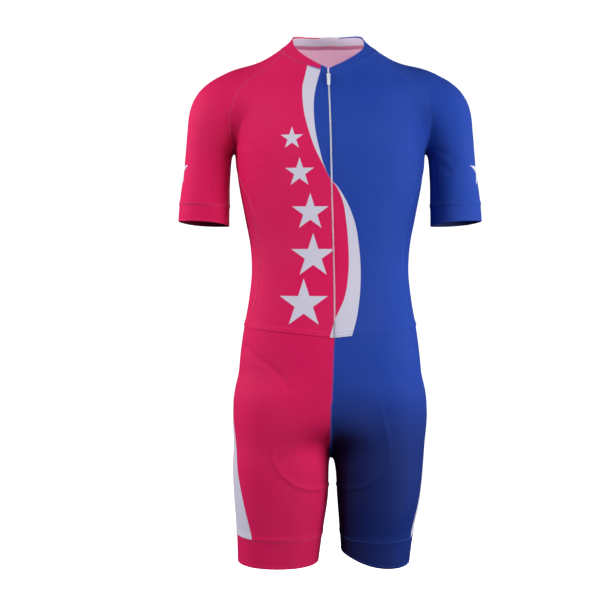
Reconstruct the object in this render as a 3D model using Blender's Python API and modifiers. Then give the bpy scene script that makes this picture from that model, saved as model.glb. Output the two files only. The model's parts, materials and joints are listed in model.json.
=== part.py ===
"""Speed skating skinsuit: a zipped short-sleeved top sewn to thigh-length shorts, worn and hollow.

Every piece of cloth is a thin wall laid over one general standing figure, a smooth surface worked out from the
tables below. +Z is up, the front faces -Y and the wearer's right is at -X. The origin is the middle of the neck
opening, level with the tops of the shoulders that carry the suit. Sizes are in millimetres, and panels and zip
parts are turned into metres as they are built.
"""

import math

import bmesh
import bpy
import numpy as np

MM = 0.001

# Cloth and seams
CLOTH = 1.2
SEAM_GAP = 0.3
LAP_RISE = 2.8  # how far the top's hem stands out over the shorts
LAP_OVER = 6  # how far it reaches down over the shorts
ARMPIT_LEAN = 2
HEM_ROLL = 1.2  # how far the cloth rolls out above a cuff or leg band
BAND_CLOTH = 1.6  # doubled elastic cloth at cuffs and legs
COLLAR_CLOTH = 1.8
PAD_RISE = 2.5  # how far the seat pad inside lifts the cloth, and where
PAD_MIDDLE = -695
PAD_HALF_HEIGHT = 95
PAD_HALF_WIDTH = 112
PAD_EDGE = 0.3
PAD_INNER = 30

# Zip
CHAIN_WIDTH = 2.6
TAPE_WIDTH = 24
TAPE_CLOTH = 1.0
TAPE_SHORT = 4  # how far above the shorts the tape ends
SLIDER = (7.0, 2.4, 10.0)  # width, thickness, length
SLIDER_BELOW_NECK = 10
CHAIN_RISE = 0.4
BAIL_HEIGHT = 3.2
BAIL_SPAN = 6.4
BAIL_WIRE = 0.65
BAIL_STEPS = 10
SLIDER_TAPER = 0.78  # its lower end's width against its upper end's
SLIDER_ROUNDING = 0.7
PULL_LENGTH = 19
PULL_CORNER = 0.3  # corner radius against width
PULL_WIDTH = 5.2
PULL_THICKNESS = 1.0
PULL_EYE = (2.8, 5.4)  # width and length of the hole that the bail passes through
PULL_BAR = 0.9  # the bar of the pull that lies under the bail
PULL_LIFT = 1.35  # the hinge axis above the slider

# Heights
ARMPIT_ROW = -190
LEG_BAND_TOP = -863
LEG_HEM = -912
CROTCH_CENTRE = -620  # the point that the crotch's curve turns about
CROTCH_ROW = -715
LEG_TOP_ROW = -733

# Grids
SEAM_STEPS = 60
RAGLAN_ROWS = 11
TRUNK_ROWS = 13
ARM_ROWS = 4
FRONT_COLUMNS = 9
BACK_COLUMNS = 24
SLEEVE_COLUMNS = 15
HIP_ROWS = 5
CROTCH_ROWS = 5  # rows that turn under the crotch
LEG_ROWS = 6
LEG_COLUMNS = 10
RING_COLUMNS = 22
COLLAR_COLUMNS = 28

RIGHT, LEFT = -1, 1


def table(names, *rows):
    """Rows of numbers as an array for each named column, in order of the first."""
    return dict(zip(names.split(), np.array(sorted(rows), float).T))


# The general figure's trunk and neck: each row is a section at one height
TRUNK = table(
    "height middle half_width front back",
    (45, -5, 56, 56, 64),
    (20, -5, 61, 58, 68),
    (6, -5, 70, 60, 72),
    (-6, -5, 79, 63, 76),
    (-25, -5, 92, 70, 82),
    (-50, -4, 112, 80, 92),
    (-90, -1, 156, 97, 106),
    (-140, 0, 166, 110, 114),
    (-190, 0, 168, 117, 114),
    (-240, 0, 163, 114, 109),
    (-300, 0, 152, 108, 99),
    (-360, 0, 141, 103, 89),
    (-400, 0, 139, 102, 86),
    (-450, 0, 144, 104, 90),
    (-500, 0, 151, 105, 99),
    (-560, 0, 158, 104, 112),
    (-620, 0, 162, 101, 121),
    (-670, 0, 163, 96, 122),
    (-698, 0, 161, 93, 118),
)
TRUNK_POWER = 2.4

# A line through each shoulder and down the arm, with the size of the section about it
ARM = table(
    "along out back height radius",
    (0, 30, 8, -52, 46),
    (70, 95, 5, -74, 47),
    (150, 165, 2, -98, 53),
    (185, 192, 1, -118, 54),
    (230, 208, 0, -160, 46),
    (265, 215, 0, -190, 41.5),
    (300, 219, 0, -230, 41.5),
    (360, 223, 0, -285, 44.5),
    (420, 225, 0, -345, 46),
)
ARM_DEPTH = 1.16
SLEEVE_NECK = 20  # places along the arm's line
SLEEVE_ARMPIT = 258
CUFF_TOP = 358
CUFF_HEM = 395

# Each thigh; the left one is turned a little, so it shows narrower from the front
RIGHT_LEG = table(
    "height out half_width back depth",
    (-600, 82, 84, 10, 106),
    (-720, 87, 84, 7, 97),
    (-742, 90, 82, 6, 95),
    (-800, 90, 80, 4, 89),
    (-854, 90.5, 75.5, 2, 82),
    (-930, 95.5, 68, 0, 76),
)
LEFT_LEG = table(
    "height out half_width back depth",
    (-600, 82, 84, 10, 106),
    (-720, 85, 82, 7, 97),
    (-742, 86.5, 78.5, 6, 95),
    (-800, 85.5, 74, 4, 90),
    (-854, 83, 66, 2, 84),
    (-930, 80, 58.5, 0, 79),
)
LEG_POWER = 2.15

# Lines on the figure; an angle is turned from the front toward either side
NECK_SEAM = table("angle height", (0, -58), (20, -49), (40, -37), (60, -20), (90, -3), (120, 3), (180, 7))
COLLAR_TOP = table("angle height", (0, -52), (20, -42), (40, -28), (60, -11), (90, 8), (120, 21), (180, 29))
FRONT_RAGLAN_ANGLE = 60
BACK_RAGLAN_ANGLE = 118
FRONT_RAGLAN = table(
    "along out height", (0, 80, -20), (20, 110, -47), (40, 145, -73), (54, 164, -97), (68, 173, -125),
    (82, 175, -152), (94, 172, -175), (100, 170, -187),
)
BACK_RAGLAN = table(
    "along out height", (0, 68, 2), (22, 98, -24), (44, 128, -66), (62, 150, -106), (80, 164, -144), (94, 170, -173),
    (100, 171, -187),
)
UNDERARM = 170
UNDERARM_GAP = 2
SIDE_SEAM_ANGLE = 70
SHOULDER_TOP = table(
    "along out height", (0, 84, -3), (35, 150, -38), (60, 215, -60), (80, 248, -100), (100, 258, -176)
)
SIDE_SEAM = table(
    "height angle", (-196, 90), (-215, 86), (-240, 76), (-280, 67), (-350, 65), (-400, 66), (-450, 68), (-500, 75),
)
WAIST = table("angle height", (0, -506), (45, -500), (90, -484), (180, -478))
CENTRE = table("height out", (-58, -5), (-150, -2), (-240, 0), (-506, 5), (-620, 2), (-700, 0))


def read(rows, name, at):
    """A column of a table on a smooth curve through its rows."""
    x, y = next(iter(rows.values())), rows[name]
    slope = np.gradient(y, x)
    k = np.clip(np.searchsorted(x, at) - 1, 0, len(x) - 2)
    span = x[k + 1] - x[k]
    t = np.clip((at - x[k]) / span, 0, 1)
    bend = t * (1 - t) ** 2 * slope[k] - t * t * (1 - t) * slope[k + 1]
    return y[k] + (y[k + 1] - y[k]) * t * t * (3 - 2 * t) + bend * span


def join(a, b, soft):
    """The union of two fields, rounded where they meet."""
    h = np.clip(0.5 + 0.5 * (b - a) / soft, 0, 1)
    return b + (a - b) * h - soft * h * (1 - h)


def section(x, y, half_width, depth, power):
    """About how far a point lies outside a rounded section."""
    u, v = np.abs(x) / half_width + 1e-9, np.abs(y) / depth + 1e-9
    q = (u**power + v**power) ** (1 / power)
    steep = np.hypot(u ** (power - 1) / half_width, v ** (power - 1) / depth) * q ** (1 - power)
    return (q - 1) / steep


def trunk(p):
    x, y, z = p.T
    depth = np.where(y < 0, read(TRUNK, "front", z), read(TRUNK, "back", z))
    body = section(x - read(TRUNK, "middle", z), y, read(TRUNK, "half_width", z), depth, TRUNK_POWER)
    return -join(-body, z - TRUNK["height"][0], 60)


def leg(p, rows, side):
    x, y, z = p.T
    across, along = x - side * read(rows, "out", z), y - read(rows, "back", z)
    limb = section(across, along, read(rows, "half_width", z), read(rows, "depth", z), LEG_POWER)
    return -join(-limb, rows["height"][-1] - z, 40)


def arm_line(along):
    return np.stack([read(ARM, name, along) for name in ("out", "back", "height")], axis=-1)


ARM_STEPS = np.linspace(0, ARM["along"][-1], 70)
ARM_POINTS = arm_line(ARM_STEPS)
ARM_RADII = read(ARM, "radius", ARM_STEPS)


def arm(p):
    """How far a point lies outside the round sections along the nearer shoulder and arm."""
    q = np.stack([np.abs(p[:, 0]), p[:, 1], p[:, 2]], axis=1)
    apart = (q[:, None, :] - ARM_POINTS[None]) / (1, ARM_DEPTH, 1)
    return (np.sqrt((apart**2).sum(2)) - ARM_RADII).min(1)


def figure(p):
    """Below zero inside the figure and above zero outside."""
    shoulder_soft = np.interp(p[:, 2], (-180, -120, -40), (8, 26, 50))
    legs = join(leg(p, RIGHT_LEG, RIGHT), leg(p, LEFT_LEG, LEFT), 12)
    return join(join(trunk(p), arm(p), shoulder_soft), legs, 30)


def cast(starts, ways):
    """Where rays from inside the figure first leave it."""
    starts, ways = np.broadcast_arrays(np.atleast_2d(starts).astype(float), np.atleast_2d(ways).astype(float))
    ways = ways / np.linalg.norm(ways, axis=1, keepdims=True)
    inner, outer = np.zeros(len(starts)), np.zeros(len(starts))
    going = np.arange(len(starts))
    while len(going):
        field = figure(starts[going] + ways[going] * outer[going, None])
        going, field = going[field < 0], field[field < 0]
        inner[going] = outer[going]
        outer[going] += np.clip(-0.7 * field, 2, 40)
    for _ in range(12):
        middle = (inner + outer) / 2
        inside = figure(starts + ways * middle[:, None]) < 0
        inner, outer = np.where(inside, middle, inner), np.where(inside, outer, middle)
    return starts + ways * inner[:, None]


def normals(p):
    """The figure's outward directions at points on it."""
    flat, e = p.reshape(-1, 3), 0.5
    slope = np.stack([figure(flat + e * axis) - figure(flat - e * axis) for axis in np.eye(3)], axis=1)
    return (slope / np.linalg.norm(slope, axis=1, keepdims=True)).reshape(p.shape)


def around(angle, height, side, axis_x=0.0, axis_y=0.0):
    """Points on the figure level with an upright axis, at angles turned from the front toward one side."""
    turn = np.radians(angle)
    axis_x, axis_y, height, turn = np.broadcast_arrays(axis_x, axis_y, height, turn)
    starts = np.stack([axis_x, axis_y, height], axis=-1)
    ways = np.stack([side * np.sin(turn), -np.cos(turn), np.zeros_like(turn)], axis=-1)
    return cast(starts, ways)


def angle_of(point, side):
    """How far a point is turned from the front toward one side."""
    return math.degrees(math.atan2(side * point[0], -point[1]))


def across(out, height, side, way):
    """Points on the figure straight in front of, or behind, given places on its middle plane."""
    out, height = np.broadcast_arrays(out, height)
    return cast(np.stack([side * out, 0 * out, height], axis=-1), (0, way, 0))


def smoothstep(t):
    t = np.clip(t, 0, 1)
    return t * t * (3 - 2 * t)


# Seams that panels share


def underarm(side, gap=0):
    """The bottom of the armpit, where the front, the back and the sleeve come within a seam's gap."""
    return cast((side * (UNDERARM + gap), 0, -150), (0, 0, -1))


def evenly(points, count):
    """That many points spaced evenly along a line of points."""
    length = np.append(0, np.cumsum(np.linalg.norm(np.diff(points, axis=0), axis=1)))
    places = np.linspace(0, length[-1], count)
    return np.stack([np.interp(places, length, axis) for axis in points.T], axis=1)


def raglan_seam(side, way, gap=0):
    """A raglan seam from the neck to the underarm, in front or behind, one point for each row."""
    rows, angle = (FRONT_RAGLAN, FRONT_RAGLAN_ANGLE) if way < 0 else (BACK_RAGLAN, BACK_RAGLAN_ANGLE)
    along = np.linspace(0, 100, SEAM_STEPS)[2:]
    neck = around([angle], read(NECK_SEAM, "height", [angle]), side)
    seam = across(read(rows, "out", along), read(rows, "height", along), side, way)
    return evenly(np.concatenate([neck, seam, underarm(side, gap)]), RAGLAN_ROWS + 1)


def side_edge(side, way):
    """The outer edge of a front or back: its raglan seam, then the side seam, which runs forward of the side."""
    waist = read(WAIST, "height", SIDE_SEAM_ANGLE)
    height = np.linspace(SIDE_SEAM["height"][-1], waist, SEAM_STEPS)
    seam = around(read(SIDE_SEAM, "angle", height), height, side)
    hem = around([read(SIDE_SEAM, "angle", waist)], waist - LAP_OVER, side)
    down = evenly(np.concatenate([underarm(side), seam]), TRUNK_ROWS)
    return np.concatenate([raglan_seam(side, way), down[1:], hem])


def middle_heights(angle):
    waist = read(WAIST, "height", angle)
    raglan = np.linspace(read(NECK_SEAM, "height", angle), ARMPIT_ROW, RAGLAN_ROWS + 1)
    return np.concatenate([raglan, np.linspace(ARMPIT_ROW, waist, TRUNK_ROWS)[1:], [waist - LAP_OVER]])


def hem_rise(rows):
    """How far each row stands out: only the last two, which pass over the shorts."""
    return np.append(np.zeros(rows - 2), [LAP_RISE, LAP_RISE])[:, None]


def zip_edge(side, height):
    return read(CENTRE, "out", height) + side * (CHAIN_WIDTH / 2 + SEAM_GAP)


def trim(points, top=False, bottom=False, first=False, last=False):
    """Draws the named edges of a grid in by half a seam's gap."""
    points = points.copy()
    for wanted, edge, beside in (
        (top, np.s_[0], np.s_[1]),
        (bottom, np.s_[-1], np.s_[-2]),
        (first, np.s_[:, 0], np.s_[:, 1]),
        (last, np.s_[:, -1], np.s_[:, -2]),
    ):
        if wanted:
            along, way = np.gradient(points[edge], axis=0), points[beside] - points[edge]
            along /= np.linalg.norm(along, axis=1, keepdims=True)
            way -= along * (way * along).sum(1, keepdims=True)
            points[edge] += way / np.linalg.norm(way, axis=1, keepdims=True) * SEAM_GAP / 2
    return points


# The pieces of cloth, each a grid of points on the figure


def front(side):
    """One front of the top, from the zip to the raglan seam and the side seam."""
    edge, middle = side_edge(side, -1), middle_heights(0)
    share = np.linspace(0, 1, FRONT_COLUMNS + 1)
    neck = read(NECK_SEAM, "height", FRONT_RAGLAN_ANGLE * share)
    neck_bow = neck - neck[0] - (neck[-1] - neck[0]) * share
    rows = []
    for row, (point, height) in enumerate(zip(edge, middle)):
        heights = height + (point[2] - height) * share + neck_bow * max(0, 1 - row / RAGLAN_ROWS)
        line = around(angle_of(point, side) * share, heights, side, zip_edge(side, heights) * (1 - share))
        line[-1] = point
        rows.append(line)
    return trim(np.array(rows), top=True, last=True)


def back():
    """The back of the top, from the right raglan and side seams round to the left ones."""
    right, left, middle = side_edge(RIGHT, 1), side_edge(LEFT, 1), middle_heights(180)
    share = np.linspace(-1, 1, BACK_COLUMNS + 1)
    rows = []
    for row, (start, end, height) in enumerate(zip(right, left, middle)):
        angles = np.where(
            share < 0, 180 + share * (180 - angle_of(start, RIGHT)), 180 + share * (180 - angle_of(end, LEFT))
        )
        heights = height + np.where(share < 0, start[2] - height, end[2] - height) * np.abs(share)
        if row < RAGLAN_ROWS:
            neck = read(NECK_SEAM, "height", 180 - (180 - BACK_RAGLAN_ANGLE) * np.abs(share))
            neck_bow = neck - neck.max() - (neck[0] - neck.max()) * np.abs(share)
            heights = heights + neck_bow * (1 - row / RAGLAN_ROWS)
        line = around(angles, heights, RIGHT)
        line[0], line[-1] = start, end
        rows.append(line)
    return trim(np.array(rows), top=True, first=True, last=True)


def sleeve_frame(along, side, top=None):
    """A point on the arm's line, with the outward and forward directions of the section there."""
    centre = arm_line(along) * (side, 1, 1)
    if top is None:
        run = (arm_line(along + 1) - arm_line(along - 1)) * (side, 1, 1)
        outward = np.array([-run[2], 0, run[0]]) * side
    else:
        outward = top - centre
    outward = outward * (1, 0, 1) / np.linalg.norm(outward * (1, 0, 1))
    return centre, outward, np.cross(outward, (0, 1, 0))


def sleeve_line(frame, turns, lean):
    """Points round the arm at angles from the outward direction, each leaning along the arm."""
    centre, outward, along = frame
    turns = np.radians(turns)[:, None]
    ways = np.cos(turns) * outward + np.sin(turns) * np.array([0, 1, 0]) + np.reshape(lean, (-1, 1)) * along
    return cast(centre, ways)


def sleeve(side):
    """A raglan sleeve: arcs over the shoulder between the raglan seams, then rings down to the cuff."""
    front_edge, back_edge = raglan_seam(side, -1, UNDERARM_GAP), raglan_seam(side, 1, UNDERARM_GAP)
    share = np.linspace(0, 1, SLEEVE_COLUMNS + 1)
    neck = FRONT_RAGLAN_ANGLE + (BACK_RAGLAN_ANGLE - FRONT_RAGLAN_ANGLE) * share
    rows = [around(neck, read(NECK_SEAM, "height", neck), side)]
    for row in range(1, RAGLAN_ROWS + 1):
        along = row / RAGLAN_ROWS
        top = np.array([side * read(SHOULDER_TOP, "out", 100 * along), 0, read(SHOULDER_TOP, "height", 100 * along)])
        frame = sleeve_frame(SLEEVE_NECK + (SLEEVE_ARMPIT - SLEEVE_NECK) * along, side, top)
        turns, leans = [], []
        for point, way in ((front_edge[row], -1), (back_edge[row], 1)):
            apart = point - frame[0]
            turns.append(way * abs(math.degrees(math.atan2(apart[1], apart @ frame[1]))))
            leans.append(apart @ frame[2] / math.hypot(apart[1], apart @ frame[1]))
        turn = turns[0] + (turns[1] - turns[0]) * share
        lean = np.where(turn < 0, leans[0] * (turn / turns[0]) ** 2, leans[1] * (turn / turns[1]) ** 2)
        line = sleeve_line(frame, turn, lean)
        line[0], line[-1] = front_edge[row], back_edge[row]
        rows.append(line)
    for along in np.linspace(SLEEVE_ARMPIT, CUFF_TOP, ARM_ROWS + 1)[1:]:
        rows.append(sleeve_line(sleeve_frame(along, side), -180 + 360 * share, 0 * share))
    return trim(np.array(rows), top=True, bottom=True, first=True, last=True)


def cuff(side):
    turns = np.linspace(-180, 180, RING_COLUMNS + 1)
    rows = [
        sleeve_line(sleeve_frame(along, side), turns, 0 * turns) for along in np.linspace(CUFF_TOP, CUFF_HEM, 4)
    ]
    return trim(np.array(rows), top=True)


def collar():
    """A stand collar from one side of the zip round the neck to the other."""
    angles = np.linspace(0, 360, COLLAR_COLUMNS + 1)
    turned = np.minimum(angles, 360 - angles)
    nearness = np.clip(1 - turned / FRONT_RAGLAN_ANGLE, 0, 1)
    seam, top = read(NECK_SEAM, "height", turned), read(COLLAR_TOP, "height", turned)
    rows = []
    for share in np.linspace(0, 1, 4):
        heights = seam + (top - seam) * share
        sides = np.where(angles < 180, RIGHT, LEFT)
        rows.append(around(angles, heights, RIGHT, zip_edge(sides, heights) * nearness))
    return trim(np.array(rows), top=True)


def shorts(side, way):
    """A quarter of the shorts and its thigh, from the centre and inside seams round to the side."""
    leg_rows = RIGHT_LEG if side == RIGHT else LEFT_LEG
    facing = 0 if way < 0 else 180
    heights = np.linspace(read(WAIST, "height", facing), CROTCH_CENTRE, HIP_ROWS + 1)
    middle = across(side * read(CENTRE, "out", heights), heights, side, way)
    turns = np.radians(np.linspace(0, 90, CROTCH_ROWS + 1)[1:])
    ways = np.stack([0 * turns, way * np.cos(turns), -np.sin(turns)], axis=1)
    middle = np.concatenate([middle, cast((read(CENTRE, "out", CROTCH_ROW), 0, CROTCH_CENTRE), ways)])
    side_heights = np.linspace(read(WAIST, "height", 90), CROTCH_ROW, HIP_ROWS + CROTCH_ROWS + 1)
    share = np.linspace(0, 1, LEG_COLUMNS + 1)
    rows = []
    for row, (point, height) in enumerate(zip(middle, side_heights)):
        axis = side * read(leg_rows, "out", CROTCH_ROW) * smoothstep((row - HIP_ROWS + 1) / (CROTCH_ROWS + 1))
        start = math.degrees(math.atan2(side * (point[0] - axis), -point[1]))
        start = start % 360 if way > 0 else start
        line = around(start + (90 - start) * share, point[2] + (height - point[2]) * share, side, axis)
        line[0] = point
        rows.append(line)
    for height in np.linspace(LEG_TOP_ROW, LEG_BAND_TOP, LEG_ROWS):
        start = -90 if way < 0 else 270
        rows.append(around(start + (90 - start) * share, height, side, side * read(leg_rows, "out", height)))
    return trim(np.array(rows), bottom=True, first=True, last=True)


def leg_band(side):
    leg_rows = RIGHT_LEG if side == RIGHT else LEFT_LEG
    angles = np.linspace(-90, 270, RING_COLUMNS + 1)
    rows = [
        around(angles, height, side, side * read(leg_rows, "out", height))
        for height in np.linspace(LEG_BAND_TOP, LEG_HEM, 4)
    ]
    return trim(np.array(rows), top=True)


def zip_strip(width, columns, heights):
    """A strip down the front opening."""
    outs = np.linspace(-width / 2, width / 2, columns + 1)
    return np.array([across(read(CENTRE, "out", height) + outs, height, 1, -1) for height in heights])


# Building the pieces


def pad_relief(points):
    """How far the seat pad inside the shorts lifts each point of their outside."""
    out = np.abs(points[..., 0])
    reach = np.hypot(out / PAD_HALF_WIDTH, (points[..., 2] - PAD_MIDDLE) / PAD_HALF_HEIGHT)
    return PAD_RISE * smoothstep((1 - reach) / PAD_EDGE) * smoothstep(out / PAD_INNER - 0.5)


def make_cloth(name, points, material, depth=CLOTH, raised=0.0, relief=0.0, closed=False, armpit=False):
    """A cloth wall laid on the figure and thickened inward; it can be raised, or have relief on its outside only."""
    bm = bmesh.new()
    bmesh.ops.create_grid(bm, x_segments=points.shape[1] - 1, y_segments=points.shape[0] - 1)
    place = bm.verts.layers.int.new("place")
    away = normals(points)
    if armpit:  # the figure's own direction turns too fast there, so the wall leans toward the cloth below it
        corner = away[RAGLAN_ROWS, [0, -1]] + ARMPIT_LEAN * away[RAGLAN_ROWS + 1, [0, -1]]
        away[RAGLAN_ROWS, [0, -1]] = corner / np.linalg.norm(corner, axis=1, keepdims=True)
    raised, relief = np.asarray(raised), np.asarray(relief)
    outer = (points + away * (raised + relief)[..., None]).reshape(-1, 3)
    inner = (points + away * (raised - depth)[..., None]).reshape(-1, 3)
    for number, vert in enumerate(bm.verts):
        vert.co = outer[number] * MM
        vert[place] = number
    if closed:
        bmesh.ops.remove_doubles(bm, verts=bm.verts[:], dist=SEAM_GAP * MM / 10)
    thick = bmesh.ops.extrude_face_region(bm, geom=bm.faces[:], use_keep_orig=True)["geom"]
    for vert in thick:
        if isinstance(vert, bmesh.types.BMVert):
            vert.co = inner[vert[place]] * MM
    bmesh.ops.recalc_face_normals(bm, faces=bm.faces[:])
    return link(name, bm, material)


def link(name, bm, material):
    mesh = bpy.data.meshes.new(name)
    bm.to_mesh(mesh)
    bm.free()
    mesh.shade_smooth()
    mesh.set_sharp_from_angle(angle=math.radians(50))
    mesh.materials.append(material)
    obj = bpy.data.objects.new(name, mesh)
    parts.objects.link(obj)
    return obj


def finish(name, colour, roughness, metallic=0.0):
    material = bpy.data.materials.new(name)
    material.use_nodes = True
    shader = material.node_tree.nodes["Principled BSDF"]
    shader.inputs["Base Color"].default_value = (*colour, 1)
    shader.inputs["Roughness"].default_value = roughness
    shader.inputs["Metallic"].default_value = metallic
    return material


def hinge():
    """An empty on the pull's hinge, turned with the cloth below the neck; its -Y looks out of the chest."""
    height = read(NECK_SEAM, "height", 0) - SLIDER_BELOW_NECK
    point = across([read(CENTRE, "out", height)], [height], 1, -1)
    away = normals(point)[0]
    lift = CHAIN_RISE + SEAM_GAP + SLIDER[1] + PULL_LIFT
    empty = bpy.data.objects.new("zip_hinge", None)
    empty.rotation_euler.x = math.atan2(-away[2], -away[1])
    empty.location = (point[0] + away * (0, lift, lift)) * MM
    parts.objects.link(empty)
    return empty


def curve_mesh(name, curve):
    """A curve as a closed mesh object, its caps welded on."""
    source = bpy.data.objects.new(name, curve)
    parts.objects.link(source)
    evaluated = source.evaluated_get(bpy.context.evaluated_depsgraph_get())
    bm = bmesh.new()
    bm.from_mesh(bpy.data.meshes.new_from_object(evaluated))
    bmesh.ops.remove_doubles(bm, verts=bm.verts[:], dist=0.00001)
    bpy.data.objects.remove(source)
    return bm


def make_slider(hinge_empty, metal):
    """The slider's plate, with the bail that the pull hangs from as an arch over it."""
    bm = bmesh.new()
    bmesh.ops.create_cube(bm, size=1)
    for vert in bm.verts:
        taper = 1 if vert.co.z > 0 else SLIDER_TAPER
        x, y, z = vert.co
        vert.co = (x * SLIDER[0] * taper * MM, (y * SLIDER[1] + SLIDER[1] / 2 + PULL_LIFT) * MM, z * SLIDER[2] * MM)
    plate = link("zip_slider", bm, metal)
    plate.parent = hinge_empty
    bevel = plate.modifiers.new("rounded edges", "BEVEL")
    bevel.width = SLIDER_ROUNDING * MM
    bevel.segments = 2

    arch = bpy.data.curves.new("bail", "CURVE")
    arch.dimensions = "3D"
    arch.bevel_depth = BAIL_WIRE * MM
    arch.bevel_resolution = 2
    arch.use_fill_caps = True
    spline = arch.splines.new("POLY")
    turns = np.radians(np.linspace(0, 180, BAIL_STEPS + 1))
    spline.points.add(BAIL_STEPS)
    foot = PULL_LIFT + SLIDER[1] / 3
    for point, turn in zip(spline.points, turns):
        out = foot - (BAIL_HEIGHT + SLIDER[1] / 3) * math.sin(turn)
        point.co = (0, out * MM, BAIL_SPAN / 2 * math.cos(turn) * MM, 1)
    bail = link("bail", curve_mesh("bail", arch), metal)
    bail.parent = hinge_empty
    parts.objects.unlink(bail)
    cutters.objects.link(bail)
    bail.hide_render = True
    bail.display_type = "WIRE"
    union = plate.modifiers.new("bail", "BOOLEAN")
    union.operation = "UNION"
    union.object = bail


def make_pull(hinge_empty, metal):
    """The pull tab, a flat outline with an eye; it hangs from the origin, which is its hinge."""
    outline = bpy.data.curves.new("zip_pull", "CURVE")
    outline.dimensions = "2D"
    outline.fill_mode = "BOTH"
    outline.extrude = PULL_THICKNESS / 2 * MM
    half_bar = PULL_BAR / 2
    for width, top, bottom in ((PULL_WIDTH, half_bar, -PULL_LENGTH), (PULL_EYE[0], -half_bar, -half_bar - PULL_EYE[1])):
        radius = width * PULL_CORNER
        corners = []
        for x, y, first in ((1, top, 0), (-1, top, 90), (-1, bottom, 180), (1, bottom, 270)):
            middle = (x * (width / 2 - radius), y - radius if y == top else y + radius)
            for turn in np.radians(first + np.linspace(0, 90, 4)):
                corners.append((middle[0] + radius * math.cos(turn), middle[1] + radius * math.sin(turn)))
        spline = outline.splines.new("POLY")
        spline.points.add(len(corners) - 1)
        for point, (x, y) in zip(spline.points, corners):
            point.co = (x * MM, y * MM, 0, 1)
        spline.use_cyclic_u = True
    obj = link("zip_pull", curve_mesh("pull", outline), metal)
    obj.rotation_euler.x = math.radians(90)
    obj.parent = hinge_empty


def build():
    pink = finish("pink print jersey", (0.52, 0.017, 0.09), 0.55)
    blue = finish("blue print jersey", (0.018, 0.045, 0.28), 0.55)
    white_coil = finish("white nylon coil", (0.7, 0.72, 0.78), 0.45)
    navy_tape = finish("navy zip tape", (0.02, 0.03, 0.12), 0.8)
    metal = finish("white lacquered zinc", (0.75, 0.76, 0.8), 0.35, 0.3)

    rise = hem_rise(RAGLAN_ROWS + TRUNK_ROWS + 1)
    sleeve_roll = np.append(np.zeros(RAGLAN_ROWS + ARM_ROWS), HEM_ROLL)[:, None]
    leg_roll = np.append(np.zeros(HIP_ROWS + CROTCH_ROWS + LEG_ROWS), HEM_ROLL)[:, None]
    make_cloth("back", back(), blue, raised=rise, armpit=True)
    make_cloth("collar", collar(), blue, depth=COLLAR_CLOTH)
    for side, word, print_cloth in ((RIGHT, "right", pink), (LEFT, "left", blue)):
        make_cloth("front_" + word, front(side), print_cloth, raised=rise, armpit=True)
        make_cloth("sleeve_" + word, sleeve(side), print_cloth, raised=sleeve_roll, armpit=True)
        make_cloth("cuff_" + word, cuff(side), print_cloth, depth=BAND_CLOTH, closed=True)
        for way, place in ((-1, "front"), (1, "back")):
            points = shorts(side, way)
            make_cloth(f"shorts_{place}_{word}", points, print_cloth, raised=leg_roll, relief=pad_relief(points))
        make_cloth("leg_band_" + word, leg_band(side), print_cloth, depth=BAND_CLOTH, closed=True)

    heights = middle_heights(0)
    chain = zip_strip(CHAIN_WIDTH, 1, np.insert(heights, 0, read(COLLAR_TOP, "height", 0)))
    chain_rise = np.insert(rise, 0, 0, axis=0)
    make_cloth("zip_chain", chain, white_coil, raised=chain_rise, relief=CHAIN_RISE)
    tape_heights = np.append(heights[:-2], heights[-2] + TAPE_SHORT)
    tape_rise = np.interp(-tape_heights, -heights, rise[:, 0])[:, None] - CLOTH - SEAM_GAP
    make_cloth("zip_tape", zip_strip(TAPE_WIDTH, 4, tape_heights), navy_tape, depth=TAPE_CLOTH, raised=tape_rise)

    hinge_empty = hinge()
    make_slider(hinge_empty, metal)
    make_pull(hinge_empty, metal)


for old in list(bpy.data.objects):
    bpy.data.objects.remove(old)
parts = bpy.data.collections.new("speed_skating_skinsuit")
cutters = bpy.data.collections.new("cutters")
bpy.context.scene.collection.children.link(parts)
bpy.context.scene.collection.children.link(cutters)
build()
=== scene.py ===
# %% [markdown]
# # A speed skating skinsuit, worn and hollow
#
# The real suit is a zipped top with raglan sleeves, sewn at the waist to thigh-length shorts. It is thin elastic
# jersey, printed in pink and blue, and the body inside gives it all its form. Here that body is a general standing
# figure that nobody sees: a smooth surface worked out from tables. Each piece of cloth is laid on it as one sheet, so
# neighbours meet along the same seams, and then gets its seams, hems, thread and print.
#
# The imported part comes first. It sets where everything is, and it stays, hidden, behind the looks.

# %% Load the imported part
import json
import math

import bpy
import numpy as np
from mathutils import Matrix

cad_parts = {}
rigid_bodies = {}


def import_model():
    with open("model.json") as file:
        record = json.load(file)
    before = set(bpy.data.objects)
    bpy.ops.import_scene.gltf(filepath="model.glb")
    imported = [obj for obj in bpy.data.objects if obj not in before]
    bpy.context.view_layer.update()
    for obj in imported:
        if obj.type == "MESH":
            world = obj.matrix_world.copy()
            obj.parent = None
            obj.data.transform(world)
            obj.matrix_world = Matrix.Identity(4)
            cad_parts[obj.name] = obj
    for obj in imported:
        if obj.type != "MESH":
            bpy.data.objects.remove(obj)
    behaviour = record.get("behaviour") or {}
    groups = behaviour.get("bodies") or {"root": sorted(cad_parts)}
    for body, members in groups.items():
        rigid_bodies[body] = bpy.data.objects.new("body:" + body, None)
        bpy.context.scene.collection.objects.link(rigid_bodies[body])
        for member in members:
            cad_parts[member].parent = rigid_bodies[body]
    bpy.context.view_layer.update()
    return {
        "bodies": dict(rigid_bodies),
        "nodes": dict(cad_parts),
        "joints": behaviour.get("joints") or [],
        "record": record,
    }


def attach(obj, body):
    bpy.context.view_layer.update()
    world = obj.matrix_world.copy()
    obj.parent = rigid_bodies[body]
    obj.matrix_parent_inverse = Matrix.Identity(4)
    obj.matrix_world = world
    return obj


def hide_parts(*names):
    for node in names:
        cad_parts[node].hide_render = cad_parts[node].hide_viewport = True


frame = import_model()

bpy.ops.object.select_all(action="DESELECT")
MM = 0.001
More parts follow.
